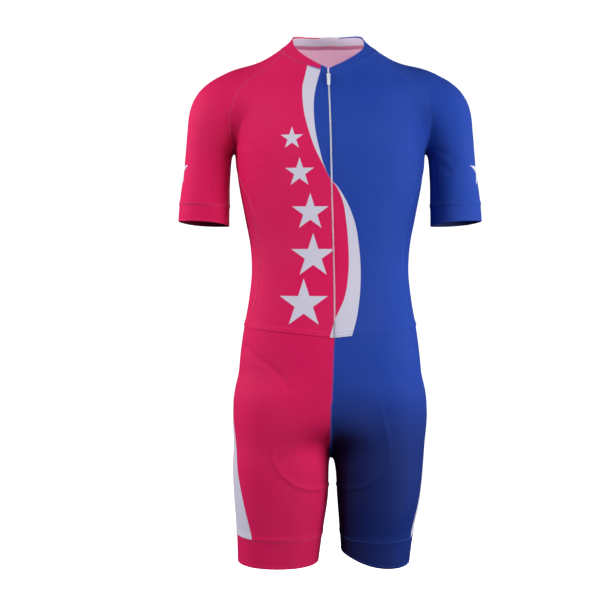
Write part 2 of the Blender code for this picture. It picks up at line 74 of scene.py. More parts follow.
RIGHT, LEFT = -1, 1  # the wearer's sides: the front faces -Y, so the right is at -X
SIDES = ((RIGHT, "right", "pink_jersey"), (LEFT, "left", "blue_jersey"))

# %% [markdown]
# ## The general figure
#
# A worn suit has the form of its wearer, so the form is settled once and every sheet is laid on it. It could be a
# modelled body, but a handful of measured sections is easier to set right: each row of these tables is the outline at
# one height, and `read` draws a smooth curve through the rows. Sizes here are millimetres.

# %% Tables that can be read between their rows
def table(names, *rows):
    """Rows of numbers as an array for each named column, in order of the first."""
    return dict(zip(names.split(), np.array(sorted(rows), float).T))


def read(rows, name, at):
    """A column of a table on a smooth curve through its rows."""
    x, y = next(iter(rows.values())), rows[name]
    slope = np.gradient(y, x)
    k = np.clip(np.searchsorted(x, at) - 1, 0, len(x) - 2)
    span = x[k + 1] - x[k]
    t = np.clip((at - x[k]) / span, 0, 1)
    bend = t * (1 - t) ** 2 * slope[k] - t * t * (1 - t) * slope[k + 1]
    return y[k] + (y[k + 1] - y[k]) * t * t * (3 - 2 * t) + bend * span


print("halfway between rows of 0 and 10:", float(read(table("at value", (0, 0), (1, 10)), "value", 0.5)))

# %% The trunk
TRUNK = table(
    "height middle half_width front back",
    (45, -5, 54, 56, 64),
    (20, -5, 57, 58, 68),
    (6, -5, 62, 60, 72),
    (-6, -5, 72, 63, 76),
    (-25, -5, 90, 70, 82),
    (-50, -4, 112, 80, 92),
    (-90, -1, 156, 97, 106),
    (-140, 0, 166, 110, 114),
    (-190, 0, 168, 117, 114),
    (-240, 0, 163, 114, 109),
    (-300, 0, 152, 108, 99),
    (-360, 0, 141, 103, 89),
    (-400, 0, 139, 102, 86),
    (-450, 0, 144, 104, 90),
    (-500, 0, 152.5, 105, 99),
    (-560, 0, 160, 104, 112),
    (-620, 0, 163, 101, 121),
    (-670, 0, 163, 96, 122),
    (-698, 0, 161, 93, 118),
)
TRUNK_POWER = 2.4  # 2 is an ellipse, and more is squarer
print("trunk sections:", len(TRUNK["height"]), "from", TRUNK["height"][0], "to", TRUNK["height"][-1], "mm")

# %% The arm
ARM = table(  # a line through each shoulder and down the arm, with the size of the section about it
    "along out back height radius",
    (0, 30, 8, -52, 46),
    (70, 95, 5, -74, 47),
    (150, 165, 2, -98, 53),
    (185, 192, 1, -118, 54),
    (230, 208, 0, -160, 46),
    (265, 215, 0, -190, 41.5),
    (300, 219, 0, -230, 41.5),
    (360, 223, 0, -285, 44.5),
    (420, 225, 0, -345, 46),
)
ARM_DEPTH = 1.16  # an arm's section is deeper than it is wide
print("arm sections:", len(ARM["along"]))

# %% The thighs
RIGHT_LEG = table(
    "height out half_width back depth",
    (-600, 81, 82, 10, 106),
    (-720, 85.5, 85.5, 7, 97),
    (-742, 87, 85, 6, 95),
    (-800, 87, 83, 4, 89),
    (-854, 89, 77, 2, 82),
    (-930, 93, 70.5, 0, 76),
)
LEFT_LEG = table(  # turned a little, so it shows narrower from the front
    "height out half_width back depth",
    (-600, 81, 82, 10, 106),
    (-720, 85, 82, 7, 97),
    (-742, 87, 78.5, 6, 95),
    (-800, 86.5, 73.5, 4, 90),
    (-854, 83, 66, 2, 84),
    (-930, 80, 58.5, 0, 79),
)
LEG_POWER = 2.15


def leg_rows(side):
    """The table of one thigh."""
    return RIGHT_LEG if side == RIGHT else LEFT_LEG


print("thigh sections:", len(RIGHT_LEG["height"]), "and", len(LEFT_LEG["height"]))

# %% [markdown]
# ## One smooth surface from the sections
#
# `figure` gives a number for any point in space: below zero inside the body, above zero outside. Each limb has such a
# number of its own, and `join` blends two of them, so the armpit and the crotch come out rounded and not as a crease.
# `cast` then walks along rays from inside until the number changes sign, which lays points on the surface.

# %% Blending, and the section of a limb
def join(a, b, soft):
    """The union of two fields, rounded where they meet."""
    h = np.clip(0.5 + 0.5 * (b - a) / soft, 0, 1)
    return b + (a - b) * h - soft * h * (1 - h)


def section(x, y, half_width, depth, power):
    """About how far a point lies outside a rounded section."""
    u, v = np.abs(x) / half_width + 1e-9, np.abs(y) / depth + 1e-9
    q = (u**power + v**power) ** (1 / power)
    steep = np.hypot(u ** (power - 1) / half_width, v ** (power - 1) / depth) * q ** (1 - power)
    return (q - 1) / steep


print("a point 10 mm outside an ellipse:", round(float(section(60, 0, 50, 40, 2)), 1))

# %% Trunk and thighs as fields
def trunk(p):
    """The trunk's field, capped above the neck."""
    x, y, z = p.T
    depth = np.where(y < 0, read(TRUNK, "front", z), read(TRUNK, "back", z))
    body = section(x - read(TRUNK, "middle", z), y, read(TRUNK, "half_width", z), depth, TRUNK_POWER)
    return -join(-body, z - TRUNK["height"][0], 60)


def leg(p, side):
    """A thigh's field, capped at its top."""
    x, y, z = p.T
    rows = leg_rows(side)
    across, along = x - side * read(rows, "out", z), y - read(rows, "back", z)
    limb = section(across, along, read(rows, "half_width", z), read(rows, "depth", z), LEG_POWER)
    return -join(-limb, rows["height"][-1] - z, 40)


# %% Arm and whole figure as fields
def arm_line(along):
    """The middle of the shoulder and arm, at distances along it."""
    return np.stack([read(ARM, name, along) for name in ("out", "back", "height")], axis=-1)


ARM_STEPS = np.linspace(0, ARM["along"][-1], 70)
ARM_POINTS = arm_line(ARM_STEPS)
ARM_RADII = read(ARM, "radius", ARM_STEPS)


def arm(p):
    """How far a point lies outside the round sections along the nearer shoulder and arm."""
    q = np.stack([np.abs(p[:, 0]), p[:, 1], p[:, 2]], axis=1)
    apart = (q[:, None, :] - ARM_POINTS[None]) / (1, ARM_DEPTH, 1)
    return (np.sqrt((apart**2).sum(2)) - ARM_RADII).min(1)


def figure(p):
    """Below zero inside the figure and above zero outside."""
    shoulder_soft = np.interp(p[:, 2], (-180, -120, -40), (8, 26, 50))
    legs = join(leg(p, RIGHT), leg(p, LEFT), 12)
    return join(join(trunk(p), arm(p), shoulder_soft), legs, 30)


print("the middle of the chest is inside:", bool(figure(np.array([[0, 0, -200.0]]))[0] < 0))

# %% Rays from inside to the surface
def cast(starts, ways):
    """Where rays from inside the figure first leave it."""
    starts, ways = np.broadcast_arrays(np.asarray(starts, float), np.asarray(ways, float))
    shape = starts.shape
    starts, ways = starts.reshape(-1, 3), ways.reshape(-1, 3)
    ways = ways / np.linalg.norm(ways, axis=1, keepdims=True)
    inner, outer = np.zeros(len(starts)), np.zeros(len(starts))
    going = np.arange(len(starts))
    while len(going):
        field = figure(starts[going] + ways[going] * outer[going, None])
        going, field = going[field < 0], field[field < 0]
        inner[going] = outer[going]
        outer[going] += np.clip(-0.7 * field, 2, 40)
    for _ in range(12):
        middle = (inner + outer) / 2
        inside = figure(starts + ways * middle[:, None]) < 0
        inner, outer = np.where(inside, middle, inner), np.where(inside, outer, middle)
    return (starts + ways * inner[:, None]).reshape(shape)


print("the back stands", round(float(cast((0, 0, -300), (0, 1, 0))[1])), "mm behind the middle at the waist")

# %% Directions, and points from the front
def normals(p):
    """The figure's outward directions at points on it."""
    flat, e = p.reshape(-1, 3), 0.5
    slope = np.stack([figure(flat + e * axis) - figure(flat - e * axis) for axis in np.eye(3)], axis=1)
    return (slope / np.linalg.norm(slope, axis=1, keepdims=True)).reshape(p.shape)


def around(angle, height, side, axis_x=0.0):
    """Points on the figure level with an upright axis, at angles turned from the front toward one side."""
    axis_x, height, turn = np.broadcast_arrays(axis_x, height, np.radians(angle))
    starts = np.stack([axis_x, 0 * turn, height], axis=-1)
    return cast(starts, np.stack([side * np.sin(turn), -np.cos(turn), 0 * turn], axis=-1))


def angle_of(points, side):
    """How far points are turned from the front toward one side."""
    return np.degrees(np.arctan2(side * points[..., 0], -points[..., 1]))


def across(out, height, side, way):
    """Points on the figure straight in front of, or behind, given places on its middle plane."""
    out, height = np.broadcast_arrays(out, height)
    return cast(np.stack([side * out, 0 * out, height], axis=-1), (0, way, 0))


def smoothstep(t):
    """Rises from 0 to 1 with a soft start and end."""
    t = np.clip(t, 0, 1)
    return t * t * (3 - 2 * t)


print("the belly stands", round(float(-across(0, -450, 1, -1)[1]), 1), "mm in front of the middle")

# %% [markdown]
# ## Where the seams run
#
# A suit is made of flat pieces, so its seams are what gives each piece its shape. The same seam function is used by
# both neighbours, and that is why they meet without a gap. The raglan seams run from the neck to the armpit, the side
# seams run forward of the body's side, and the top is lapped over the shorts at the waist.

# %% Seam lines, in millimetres and degrees from the front
ARMPIT_ROW = -190
LEG_BAND_TOP, LEG_HEM, BAND_LIFT = -863, -912, 18
CROTCH_CENTRE, CROTCH_ROW, LEG_TOP_ROW = -620, -715, -733
NECK_SEAM = table("angle height", (0, -58), (20, -49), (40, -37), (60, -20), (90, -3), (120, 3), (180, 7))
COLLAR_TOP = table("angle height", (0, -52), (20, -38), (40, -20), (60, 0), (90, 15), (120, 23), (180, 29))
FRONT_RAGLAN_ANGLE, BACK_RAGLAN_ANGLE = 60, 118
FRONT_RAGLAN = table(
    "along out height", (0, 80, -20), (20, 110, -47), (40, 145, -73), (54, 164, -97), (68, 173, -125),
    (82, 175, -152), (94, 172, -175), (100, 170, -187),
)
BACK_RAGLAN = table(
    "along out height", (0, 68, 2), (22, 98, -24), (44, 128, -66), (62, 150, -106), (80, 164, -144), (94, 170, -173),
    (100, 171, -187),
)
UNDERARM = 170
SIDE_SEAM_ANGLE = 70
SHOULDER_TOP = table(
    "along out height", (0, 84, -3), (35, 150, -38), (60, 215, -60), (80, 248, -100), (100, 258, -176)
)
SIDE_SEAM = table(
    "height angle", (-196, 90), (-215, 86), (-240, 76), (-280, 67), (-350, 65), (-400, 66), (-450, 68), (-500, 75),
)
WAIST = table("angle height", (0, -506), (45, -500), (90, -484), (180, -478))
CENTRE = table("height out", (-58, -5), (-150, -2), (-240, 0), (-506, 5), (-620, 2), (-700, 0))
LAP_OVER = 6
ZIP_HALF = 1.5  # from the middle of the coil to the cloth beside it
SLEEVE_NECK, SLEEVE_ARMPIT, CUFF_TOP, CUFF_HEM, CUFF_LIFT = 20, 258, 358, 395, 7
print("the sleeve is", CUFF_HEM - SLEEVE_NECK, "mm long with its cuff, and the leg band", LEG_BAND_TOP - LEG_HEM, "mm")

# %% How fine the sheets are
SEAM_STEPS = 240
RAGLAN_ROWS, TRUNK_ROWS, ARM_ROWS, CUFF_ROWS = 42, 66, 20, 9
FRONT_COLUMNS, BACK_COLUMNS, SLEEVE_COLUMNS, RING_COLUMNS = 38, 100, 60, 96
HIP_ROWS, CROTCH_ROWS, LEG_ROWS, LEG_COLUMNS, BAND_ROWS = 24, 16, 28, 46, 12
COLLAR_COLUMNS, COLLAR_ROWS = 120, 6
print("a front has", (RAGLAN_ROWS + TRUNK_ROWS) * FRONT_COLUMNS, "faces before it is smoothed")


# %% The seams worked out
def underarm(side):
    """The bottom of the armpit, where the front, the back and the sleeve meet."""
    return cast([(side * UNDERARM, 0, -150)], (0, 0, -1))


def evenly(points, count):
    """That many points spaced evenly along a line of points."""
    length = np.append(0, np.cumsum(np.linalg.norm(np.diff(points, axis=0), axis=1)))
    places = np.linspace(0, length[-1], count)
    return np.stack([np.interp(places, length, axis) for axis in points.T], axis=1)


def raglan_seam(side, way):
    """A raglan seam from the neck to the underarm, in front or behind, one point for each row."""
    rows, angle = (FRONT_RAGLAN, FRONT_RAGLAN_ANGLE) if way < 0 else (BACK_RAGLAN, BACK_RAGLAN_ANGLE)
    along = np.linspace(0, 100, SEAM_STEPS)[2:]
    neck = around([angle], read(NECK_SEAM, "height", [angle]), side)
    seam = across(read(rows, "out", along), read(rows, "height", along), side, way)
    return evenly(np.concatenate([neck, seam, underarm(side)]), RAGLAN_ROWS + 1)


def side_edge(side, way):
    """The outer edge of a front or back: its raglan seam, then the side seam down to the hem."""
    waist = read(WAIST, "height", SIDE_SEAM_ANGLE) - LAP_OVER
    height = np.linspace(SIDE_SEAM["height"][-1], waist, SEAM_STEPS)
    seam = around(read(SIDE_SEAM, "angle", height), height, side)
    down = evenly(np.concatenate([underarm(side), seam]), TRUNK_ROWS + 1)
    return np.concatenate([raglan_seam(side, way), down[1:]])


def middle_heights(angle):
    """The heights of the rows where a front or back starts, at the zip or the middle of the back."""
    raglan = np.linspace(read(NECK_SEAM, "height", angle), ARMPIT_ROW, RAGLAN_ROWS + 1)
    hem = read(WAIST, "height", angle) - LAP_OVER
    return np.concatenate([raglan, np.linspace(ARMPIT_ROW, hem, TRUNK_ROWS + 1)[1:]])


raglan = raglan_seam(RIGHT, -1)
print("a front raglan seam is", round(np.linalg.norm(np.diff(raglan, axis=0), axis=1).sum()), "mm long")

# %% [markdown]
# ## The sheets, one function each
#
# Every sheet is a grid of points on the figure: rows run across the wearer, columns run down. Its edges are the seam
# lines, and the points between them fan out from the axis of the trunk or limb. A sculpted mesh could look the same,
# but a grid keeps its rows level and its columns running down the cloth, as the knit does.

# %% Fronts and back of the top
def front(side):
    """One front of the top, from the zip to the raglan seam and the side seam."""
    edge, middle = side_edge(side, -1), middle_heights(0)[:, None]
    share, row = np.linspace(0, 1, FRONT_COLUMNS + 1), np.arange(len(edge))[:, None]
    neck = read(NECK_SEAM, "height", FRONT_RAGLAN_ANGLE * share)
    neck_bow = neck - neck[0] - (neck[-1] - neck[0]) * share
    heights = middle + (edge[:, 2:] - middle) * share + neck_bow * np.clip(1 - row / RAGLAN_ROWS, 0, 1)
    zip_side = read(CENTRE, "out", heights) + side * ZIP_HALF
    points = around(angle_of(edge, side)[:, None] * share, heights, side, zip_side * (1 - share))
    points[:, -1] = edge
    return points


def back():
    """The back of the top, from the right raglan and side seams round to the left ones."""
    right, left, middle = side_edge(RIGHT, 1), side_edge(LEFT, 1), middle_heights(180)[:, None]
    share, row = np.linspace(-1, 1, BACK_COLUMNS + 1), np.arange(len(right))[:, None]
    neck = read(NECK_SEAM, "height", 180 - (180 - BACK_RAGLAN_ANGLE) * np.abs(share))
    neck_bow = neck - neck.max() - (neck[0] - neck.max()) * np.abs(share)
    turn = np.where(share < 0, 180 - angle_of(right, RIGHT)[:, None], 180 - angle_of(left, LEFT)[:, None])
    ends = np.where(share < 0, right[:, 2:], left[:, 2:])
    heights = middle + (ends - middle) * np.abs(share) + neck_bow * np.clip(1 - row / RAGLAN_ROWS, 0, 1)
    points = around(180 + share * turn, heights, RIGHT)
    points[:, 0], points[:, -1] = right, left
    return points


# %% Rays round an arm
def sleeve_frame(along, side, top=None):
    """A point on the arm's line, with the outward and forward directions of the section there."""
    centre = arm_line(along) * (side, 1, 1)
    if top is None:
        run = (arm_line(along + 1) - arm_line(along - 1)) * (side, 1, 1)
        outward = np.array([-run[2], 0, run[0]]) * side
    else:
        outward = (top - centre) * (1, 0, 1)
    outward = outward / np.linalg.norm(outward)
    return centre, outward, np.cross(outward, (0, 1, 0))


def sleeve_rays(frame, turns, lean):
    """Rays round the arm at angles from the outward direction, each leaning along the arm."""
    centre, outward, along = frame
    turns = np.radians(turns)[:, None]
    ways = np.cos(turns) * outward + np.sin(turns) * np.array([0, 1, 0]) + np.reshape(lean, (-1, 1)) * along
    return np.broadcast_to(centre, ways.shape), ways

# %% Sleeves
def sleeve(side):
    """A raglan sleeve: arcs over the shoulder between the raglan seams, then rings down to the cuff."""
    edges = raglan_seam(side, -1), raglan_seam(side, 1)
    share = np.linspace(0, 1, SLEEVE_COLUMNS + 1)
    neck = FRONT_RAGLAN_ANGLE + (BACK_RAGLAN_ANGLE - FRONT_RAGLAN_ANGLE) * share
    rays = []
    for row in range(1, RAGLAN_ROWS + 1):
        along = row / RAGLAN_ROWS
        top = np.array([side * read(SHOULDER_TOP, "out", 100 * along), 0, read(SHOULDER_TOP, "height", 100 * along)])
        frame_here = sleeve_frame(SLEEVE_NECK + (SLEEVE_ARMPIT - SLEEVE_NECK) * along, side, top)
        turns, leans = [], []
        for edge, way in zip(edges, (-1, 1)):
            apart = edge[row] - frame_here[0]
            turns.append(way * abs(math.degrees(math.atan2(apart[1], apart @ frame_here[1]))))
            leans.append(apart @ frame_here[2] / math.hypot(apart[1], apart @ frame_here[1]))
        turn = turns[0] + (turns[1] - turns[0]) * share
        lean = np.where(turn < 0, leans[0] * (turn / turns[0]) ** 2, leans[1] * (turn / turns[1]) ** 2)
        rays.append(sleeve_rays(frame_here, turn, lean))
    for along in np.linspace(SLEEVE_ARMPIT, CUFF_TOP, ARM_ROWS + 1)[1:]:
        rays.append(sleeve_rays(sleeve_frame(along, side), -180 + 360 * share, 0 * share))
    points = cast(np.array([starts for starts, _ in rays]), np.array([ways for _, ways in rays]))
    points[:RAGLAN_ROWS, 0], points[:RAGLAN_ROWS, -1] = edges[0][1:], edges[1][1:]
    return np.concatenate([[around(neck, read(NECK_SEAM, "height", neck), side)], points])

# %% Cuffs
def cuff(side):
    """A ring round the arm whose hem is drawn up a little at its outer front, as an arm's lift does."""
    turns = np.linspace(-180, 180, RING_COLUMNS + 1)
    alongs = np.linspace(CUFF_TOP, CUFF_HEM, CUFF_ROWS)
    rays = [sleeve_rays(sleeve_frame(along, side), turns, 0 * turns) for along in alongs]
    points = cast(np.array([starts for starts, _ in rays]), np.array([ways for _, ways in rays]))
    lifted = smoothstep(0.5 + 0.5 * np.cos(np.radians(turns + 50)))
    points[..., 2] += CUFF_LIFT * lifted * np.linspace(0, 1, CUFF_ROWS)[:, None]
    return points


# %% Collar shape
def collar():
    """A stand collar from one side of the zip round the neck to the other."""
    angles = np.linspace(0, 360, COLLAR_COLUMNS + 1)
    turned, sides = np.minimum(angles, 360 - angles), np.where(angles < 180, RIGHT, LEFT)
    seam, top = read(NECK_SEAM, "height", turned), read(COLLAR_TOP, "height", turned)
    heights = seam + (top - seam) * np.linspace(0, 1, COLLAR_ROWS)[:, None]
    zip_side = read(CENTRE, "out", heights) + sides * ZIP_HALF
    return around(angles, heights, RIGHT, zip_side * np.clip(1 - turned / FRONT_RAGLAN_ANGLE, 0, 1))

# %% Quarters of the shorts
def shorts(side, way):
    """A quarter of the shorts and its thigh, from the centre and inside seams round to the side."""
    facing = 0 if way < 0 else 180
    heights = np.linspace(read(WAIST, "height", facing), CROTCH_CENTRE, HIP_ROWS + 1)
    middle = across(side * read(CENTRE, "out", heights), heights, side, way)
    turns = np.radians(np.linspace(0, 90, CROTCH_ROWS + 1)[1:])
    ways = np.stack([0 * turns, way * np.cos(turns), -np.sin(turns)], axis=1)
    middle = np.concatenate([middle, cast((read(CENTRE, "out", CROTCH_ROW), 0, CROTCH_CENTRE), ways)])
    side_heights = np.linspace(read(WAIST, "height", 90), CROTCH_ROW, len(middle))[:, None]
    share, row = np.linspace(0, 1, LEG_COLUMNS + 1), np.arange(len(middle))[:, None]
    axis = side * read(leg_rows(side), "out", CROTCH_ROW) * smoothstep((row - HIP_ROWS + 1) / (CROTCH_ROWS + 1))
    start = np.degrees(np.arctan2(side * (middle[:, :1] - axis), -middle[:, 1:2]))
    start = start % 360 if way > 0 else start
    under = 1.2 * smoothstep((row - len(middle) + 4) / 3)  # so that no ray at the crotch runs on into the other leg
    heights = middle[:, 2:] + (side_heights - middle[:, 2:]) * share - under
    hip = around(start + (90 - start) * share, heights, side, axis)
    hip[:, 0] = middle
    down = np.linspace(LEG_TOP_ROW, LEG_BAND_TOP, LEG_ROWS)[:, None]
    start = -90 if way < 0 else 270
    thigh = around(start + (90 - start) * share, down, side, side * read(leg_rows(side), "out", down))
    return np.concatenate([hip, thigh])

# %% Leg bands
def leg_band(side):
    """A ring round the thigh; the left one's hem is cut on a slant, higher inside."""
    angles = np.linspace(-90, 270, RING_COLUMNS + 1)
    inner_lift = (BAND_LIFT if side == LEFT else 0) * smoothstep(0.5 + 0.5 * np.cos(np.radians(angles + 85))) ** 3
    heights = LEG_BAND_TOP + (LEG_HEM + inner_lift - LEG_BAND_TOP) * np.linspace(0, 1, BAND_ROWS)[:, None]
    return around(angles, heights, side, side * read(leg_rows(side), "out", heights))


# %% [markdown]
# ## From points to cloth
#
# Each sheet starts as a grid primitive, and its points are then laid on the figure. A UV map in real metres goes with
# it, so that the knit keeps its true size as it curves round the body. One level of subdivision smooths it, the low
# relief of seams and hems is added, and Solidify gives the wall its thickness inward.

# %% Measuring along a sheet
def measured(points, axis):
    """How far each point is from the grid's first row or column, along the cloth."""
    steps = np.linalg.norm(np.diff(points, axis=axis), axis=2)
    return np.concatenate([np.zeros_like(np.take(steps, [0], axis)), np.cumsum(steps, axis)], axis)


def from_edges(points, edges):
    """How far each point is from the nearest of the named edges: top, bottom, first, last."""
    down, along = measured(points, 0), measured(points, 1)
    every = {"top": down, "bottom": down[-1:] - down, "first": along, "last": along[:, -1:] - along}
    return np.min([every[edge] for edge in edges.split()], axis=0) if edges else np.full(down.shape, 999.0)


# %% Working on one object at a time
def make_active(piece):
    """Selects one object and no other."""
    bpy.ops.object.select_all(action="DESELECT")
    piece.select_set(True)
    bpy.context.view_layer.objects.active = piece


def apply_modifier(piece, kind, **settings):
    """Adds a modifier with its settings and applies it."""
    make_active(piece)
    modifier = piece.modifiers.new(kind, kind)
    for name, value in settings.items():
        setattr(modifier, name, value)
    bpy.ops.object.modifier_apply(modifier=modifier.name)


def values(piece, name):
    """A float attribute of a mesh as an array."""
    found = np.zeros(len(piece.data.vertices))
    piece.data.attributes[name].data.foreach_get("value", found)
    return found


def store(piece, name, numbers):
    """Keeps an array as a float attribute of a mesh."""
    attribute = piece.data.attributes.get(name) or piece.data.attributes.new(name, "FLOAT", "POINT")
    attribute.data.foreach_set("value", np.asarray(numbers, float).ravel())


def places(piece):
    """A mesh's points as an array, in millimetres."""
    found = np.zeros(len(piece.data.vertices) * 3)
    piece.data.vertices.foreach_get("co", found)
    return found.reshape(-1, 3) / MM


# %% Lay a sheet on the figure
def lay(name, points, seams="", hems="", closed=False):
    """A grid primitive laid on the figure, with a UV map in metres and its distances from seams and hems."""
    rows, columns = points.shape[:2]
    bpy.ops.mesh.primitive_grid_add(x_subdivisions=columns - 1, y_subdivisions=rows - 1, size=1)
    cloth = bpy.context.object
    cloth.name = cloth.data.name = name
    mesh = cloth.data
    mesh.vertices.foreach_set("co", (points * MM).ravel())
    store(cloth, "from_seam", from_edges(points, seams))
    store(cloth, "from_hem", from_edges(points, hems))
    along = measured(points, 1)
    spots = np.stack([along - along[:, [columns // 2]], -measured(points, 0)], axis=2).reshape(-1, 2) * MM
    corner = np.zeros(len(mesh.loops), int)
    mesh.loops.foreach_get("vertex_index", corner)
    mesh.uv_layers[0].name = "cloth"
    mesh.uv_layers[0].data.foreach_set("uv", spots[corner].ravel())
    mesh.update()
    make_active(cloth)
    bpy.ops.object.mode_set(mode="EDIT")
    bpy.ops.mesh.select_all(action="SELECT")
    if closed:
        bpy.ops.mesh.remove_doubles(threshold=0.05 * MM)
    face = mesh.polygons[len(mesh.polygons) // 2]
    outward = normals(np.array([face.center]) / MM)[0]
    if np.dot(face.normal, outward) < 0:
        bpy.ops.mesh.flip_normals()
    bpy.ops.object.mode_set(mode="OBJECT")
    apply_modifier(cloth, "SUBSURF", levels=1, render_levels=1, boundary_smooth="PRESERVE_CORNERS")
    return cloth


# %% Raise its relief and give it thickness
def seam_relief(distance):
    """Sewn cloth stands up a little beside its seam, where its edges lie double."""
    return 0.3 * np.exp(-(((distance - 3.5) / 2.5) ** 2))


def thicken(cloth, relief, thickness, faces):
    """Moves the sheet's points out by the relief, makes it a wall, and gives it its two faces' finishes."""
    mesh = cloth.data
    away = np.zeros(len(mesh.vertices) * 3)
    mesh.vertices.foreach_get("normal", away)
    moved = places(cloth) + away.reshape(-1, 3) * np.asarray(relief)[:, None]
    mesh.vertices.foreach_set("co", (moved * MM).ravel())
    mesh.update()
    for finish in faces:
        mesh.materials.append(finish)
    apply_modifier(cloth, "SOLIDIFY", thickness=thickness * MM, offset=-1, material_offset=1, material_offset_rim=0)
    bpy.ops.object.shade_smooth_by_angle(angle=math.radians(50))
    return cloth


# %% [markdown]
# ## Finishes
#
# The suit is sportswear jersey, and three things make it look so: a print that has no thickness, because the dye is
# in the fibre, a dull and even surface, because its fine filaments lie in loops, and a knit that is only just seen.
# The colours are set as sRGB hex values, as a colour chart gives them. One function adds a node with its links, and
# one starts a finish with the settings that stay the same all over it.

# %% Colours and nodes
def colour(code):
    """An sRGB hex value as the linear colour that Blender works with."""
    channels = [int(code[k : k + 2], 16) / 255 for k in (0, 2, 4)]
    return tuple(c / 12.92 if c <= 0.04045 else ((c + 0.055) / 1.055) ** 2.4 for c in channels) + (1.0,)


def node(tree, kind, inputs=None, **settings):
    """Adds a node with its settings; an input takes a value, a node, or a node and the name of its output."""
    made = tree.nodes.new("ShaderNode" + kind)
    for name, value in settings.items():
        setattr(made, name, value)
    for socket, value in (inputs or {}).items():
        if isinstance(value, tuple) and isinstance(value[0], bpy.types.Node):
            tree.links.new(value[0].outputs[value[1]], made.inputs[socket])
        elif isinstance(value, bpy.types.Node):
            tree.links.new(next(out for out in value.outputs if out.enabled), made.inputs[socket])
        else:
            made.inputs[socket].default_value = value
    return made


def start_finish(name, constants):
    """A new material, its nodes and its shader, with the shader's even settings."""
    material = bpy.data.materials.new(name)
    material.use_nodes = True
    shader = material.node_tree.nodes["Principled BSDF"]
    for socket, value in constants.items():
        shader.inputs[socket].default_value = value
    return material, material.node_tree, shader


PINK, BLUE, NAVY, WHITE = colour("D41658"), colour("1E409E"), colour("050B40"), colour("CDCBDD")
EDGE = 0.5  # millimetres over which a printed edge goes soft

# %% [markdown]
# ## The knit
#
# Jersey is knitted in columns of small V stitches. On the suit they are about half a millimetre wide, which is too
# fine to show at this size, so they are drawn twice as large, as a bump read from the UV map in metres. Stretched
# cloth also shows a little of its white core yarn between the stitches, unevenly, which a slow noise gives.

# %% Printed jersey
KNIT_WALE, KNIT_COURSE = 1.1 * MM, 0.8 * MM  # drawn about twice as large as real, so that they show
FUZZ_SCALE, WEAR_SCALE = 900.0, 9.0  # noise cells to the metre: fuzz of 1 mm, and patches of 11 cm
KNIT_RELIEF = 0.0006
CORE_SHOWS, MORE_WHERE_WORN = 0.03, 0.01


def jersey(name, paint, roughness=0.75, sheen=0.0, bump=0.12):
    """Dye-printed polyester and elastane jersey: dull and even to the eye. paint adds the nodes of its colour: its
    print, and on some cloths also painted shade and painted light.
    """
    constants = {"Roughness": roughness, "Sheen Weight": sheen, "Sheen Roughness": 0.45}
    material, tree, shader = start_finish(name, constants | {"IOR": 1.5, "Specular IOR Level": 0.08})
    place = node(tree, "SeparateXYZ", {0: (node(tree, "TexCoord"), "Object")})
    spot = node(tree, "SeparateXYZ", {0: node(tree, "UVMap", uv_map="cloth")})
    across_wale = node(tree, "Math", {0: (spot, "X"), 1: 1 / KNIT_WALE}, operation="MULTIPLY")
    wale = node(tree, "Math", {0: across_wale, 1: 0.5}, operation="PINGPONG")
    down_course = node(tree, "Math", {0: (spot, "Y"), 1: 1 / KNIT_COURSE, 2: wale}, operation="MULTIPLY_ADD")
    course = node(tree, "Math", {0: down_course, 1: 0.5}, operation="PINGPONG")
    stitch = node(tree, "Math", {0: wale, 1: course}, operation="MULTIPLY")
    at = (node(tree, "TexCoord"), "Object")
    fuzz = node(tree, "TexNoise", {"Vector": at, "Scale": FUZZ_SCALE, "Detail": 2.0})
    height = node(tree, "Math", {0: (fuzz, "Fac"), 1: 0.25, 2: stitch}, operation="MULTIPLY_ADD")
    raised = node(tree, "Bump", {"Height": height, "Strength": bump, "Distance": KNIT_RELIEF})
    tree.links.new(raised.outputs[0], shader.inputs["Normal"])
    slow = node(tree, "TexNoise", {"Vector": at, "Scale": WEAR_SCALE, "Detail": 3.0})
    worn = node(tree, "MapRange", {0: (slow, "Fac"), 1: 0.35, 2: 0.7, 3: 0.0, 4: MORE_WHERE_WORN})
    core = node(tree, "Math", {0: stitch, 1: CORE_SHOWS, 2: worn}, operation="MULTIPLY_ADD")
    shown = node(tree, "Mix", {0: core, 6: paint(tree, place), 7: colour("E8E4F2")}, data_type="RGBA")
    tree.links.new(shown.outputs[2], shader.inputs["Base Color"])
    return material


# %% [markdown]
# ## The print
#
# Pink covers the wearer's right and blue the left. A white band comes down from the neck between them, crosses the
# zip at the chest, swells and runs out at the waist. Its two edges are smooth curves, read from a table at every
# point of the mesh and kept as attributes: each holds the distance to its edge, so the material only asks which side
# of zero it is on, and the edge stays sharp however coarse the mesh.

# %% Where the band's two edges run
BAND = table(
    "height pink blue",
    (-46, -40.5, -16), (-62, -44, -20), (-85, -49, -26), (-110, -48.7, -29.8), (-135, -45.5, -29.8),
    (-164, -38, -27), (-194, -27.5, -20.5), (-222, -13.5, -12.5), (-244, -2, -1.6), (-256, 7.5, 9.5),
    (-278, 17.8, 23.5), (-317, 25, 39.5), (-356, 28.6, 46.5), (-400, 28.8, 49.6), (-449, 20.5, 47.2),
    (-480, 6.5, 42.5), (-514, -3.5, 33),
)


def paint_band(tree, place):
    """Pink, then the white band, then blue."""
    ground = PINK
    for name, next_colour in (("pink_edge", WHITE), ("blue_edge", BLUE)):
        edge = node(tree, "Attribute", attribute_name=name)
        past = node(tree, "MapRange", {0: (edge, "Fac"), 1: -EDGE / 2, 2: EDGE / 2})
        ground = node(tree, "Mix", {0: past, 6: ground, 7: next_colour}, data_type="RGBA")
    return ground


# %% [markdown]
# ## Stars
#
# A column of plain five-pointed stars grows down the pink front, with one star on each sleeve. A star needs no
# picture: turned about its middle it repeats every 72 degrees, so the angle is folded into a tenth of a turn, and
# there a star's edge is one straight line.

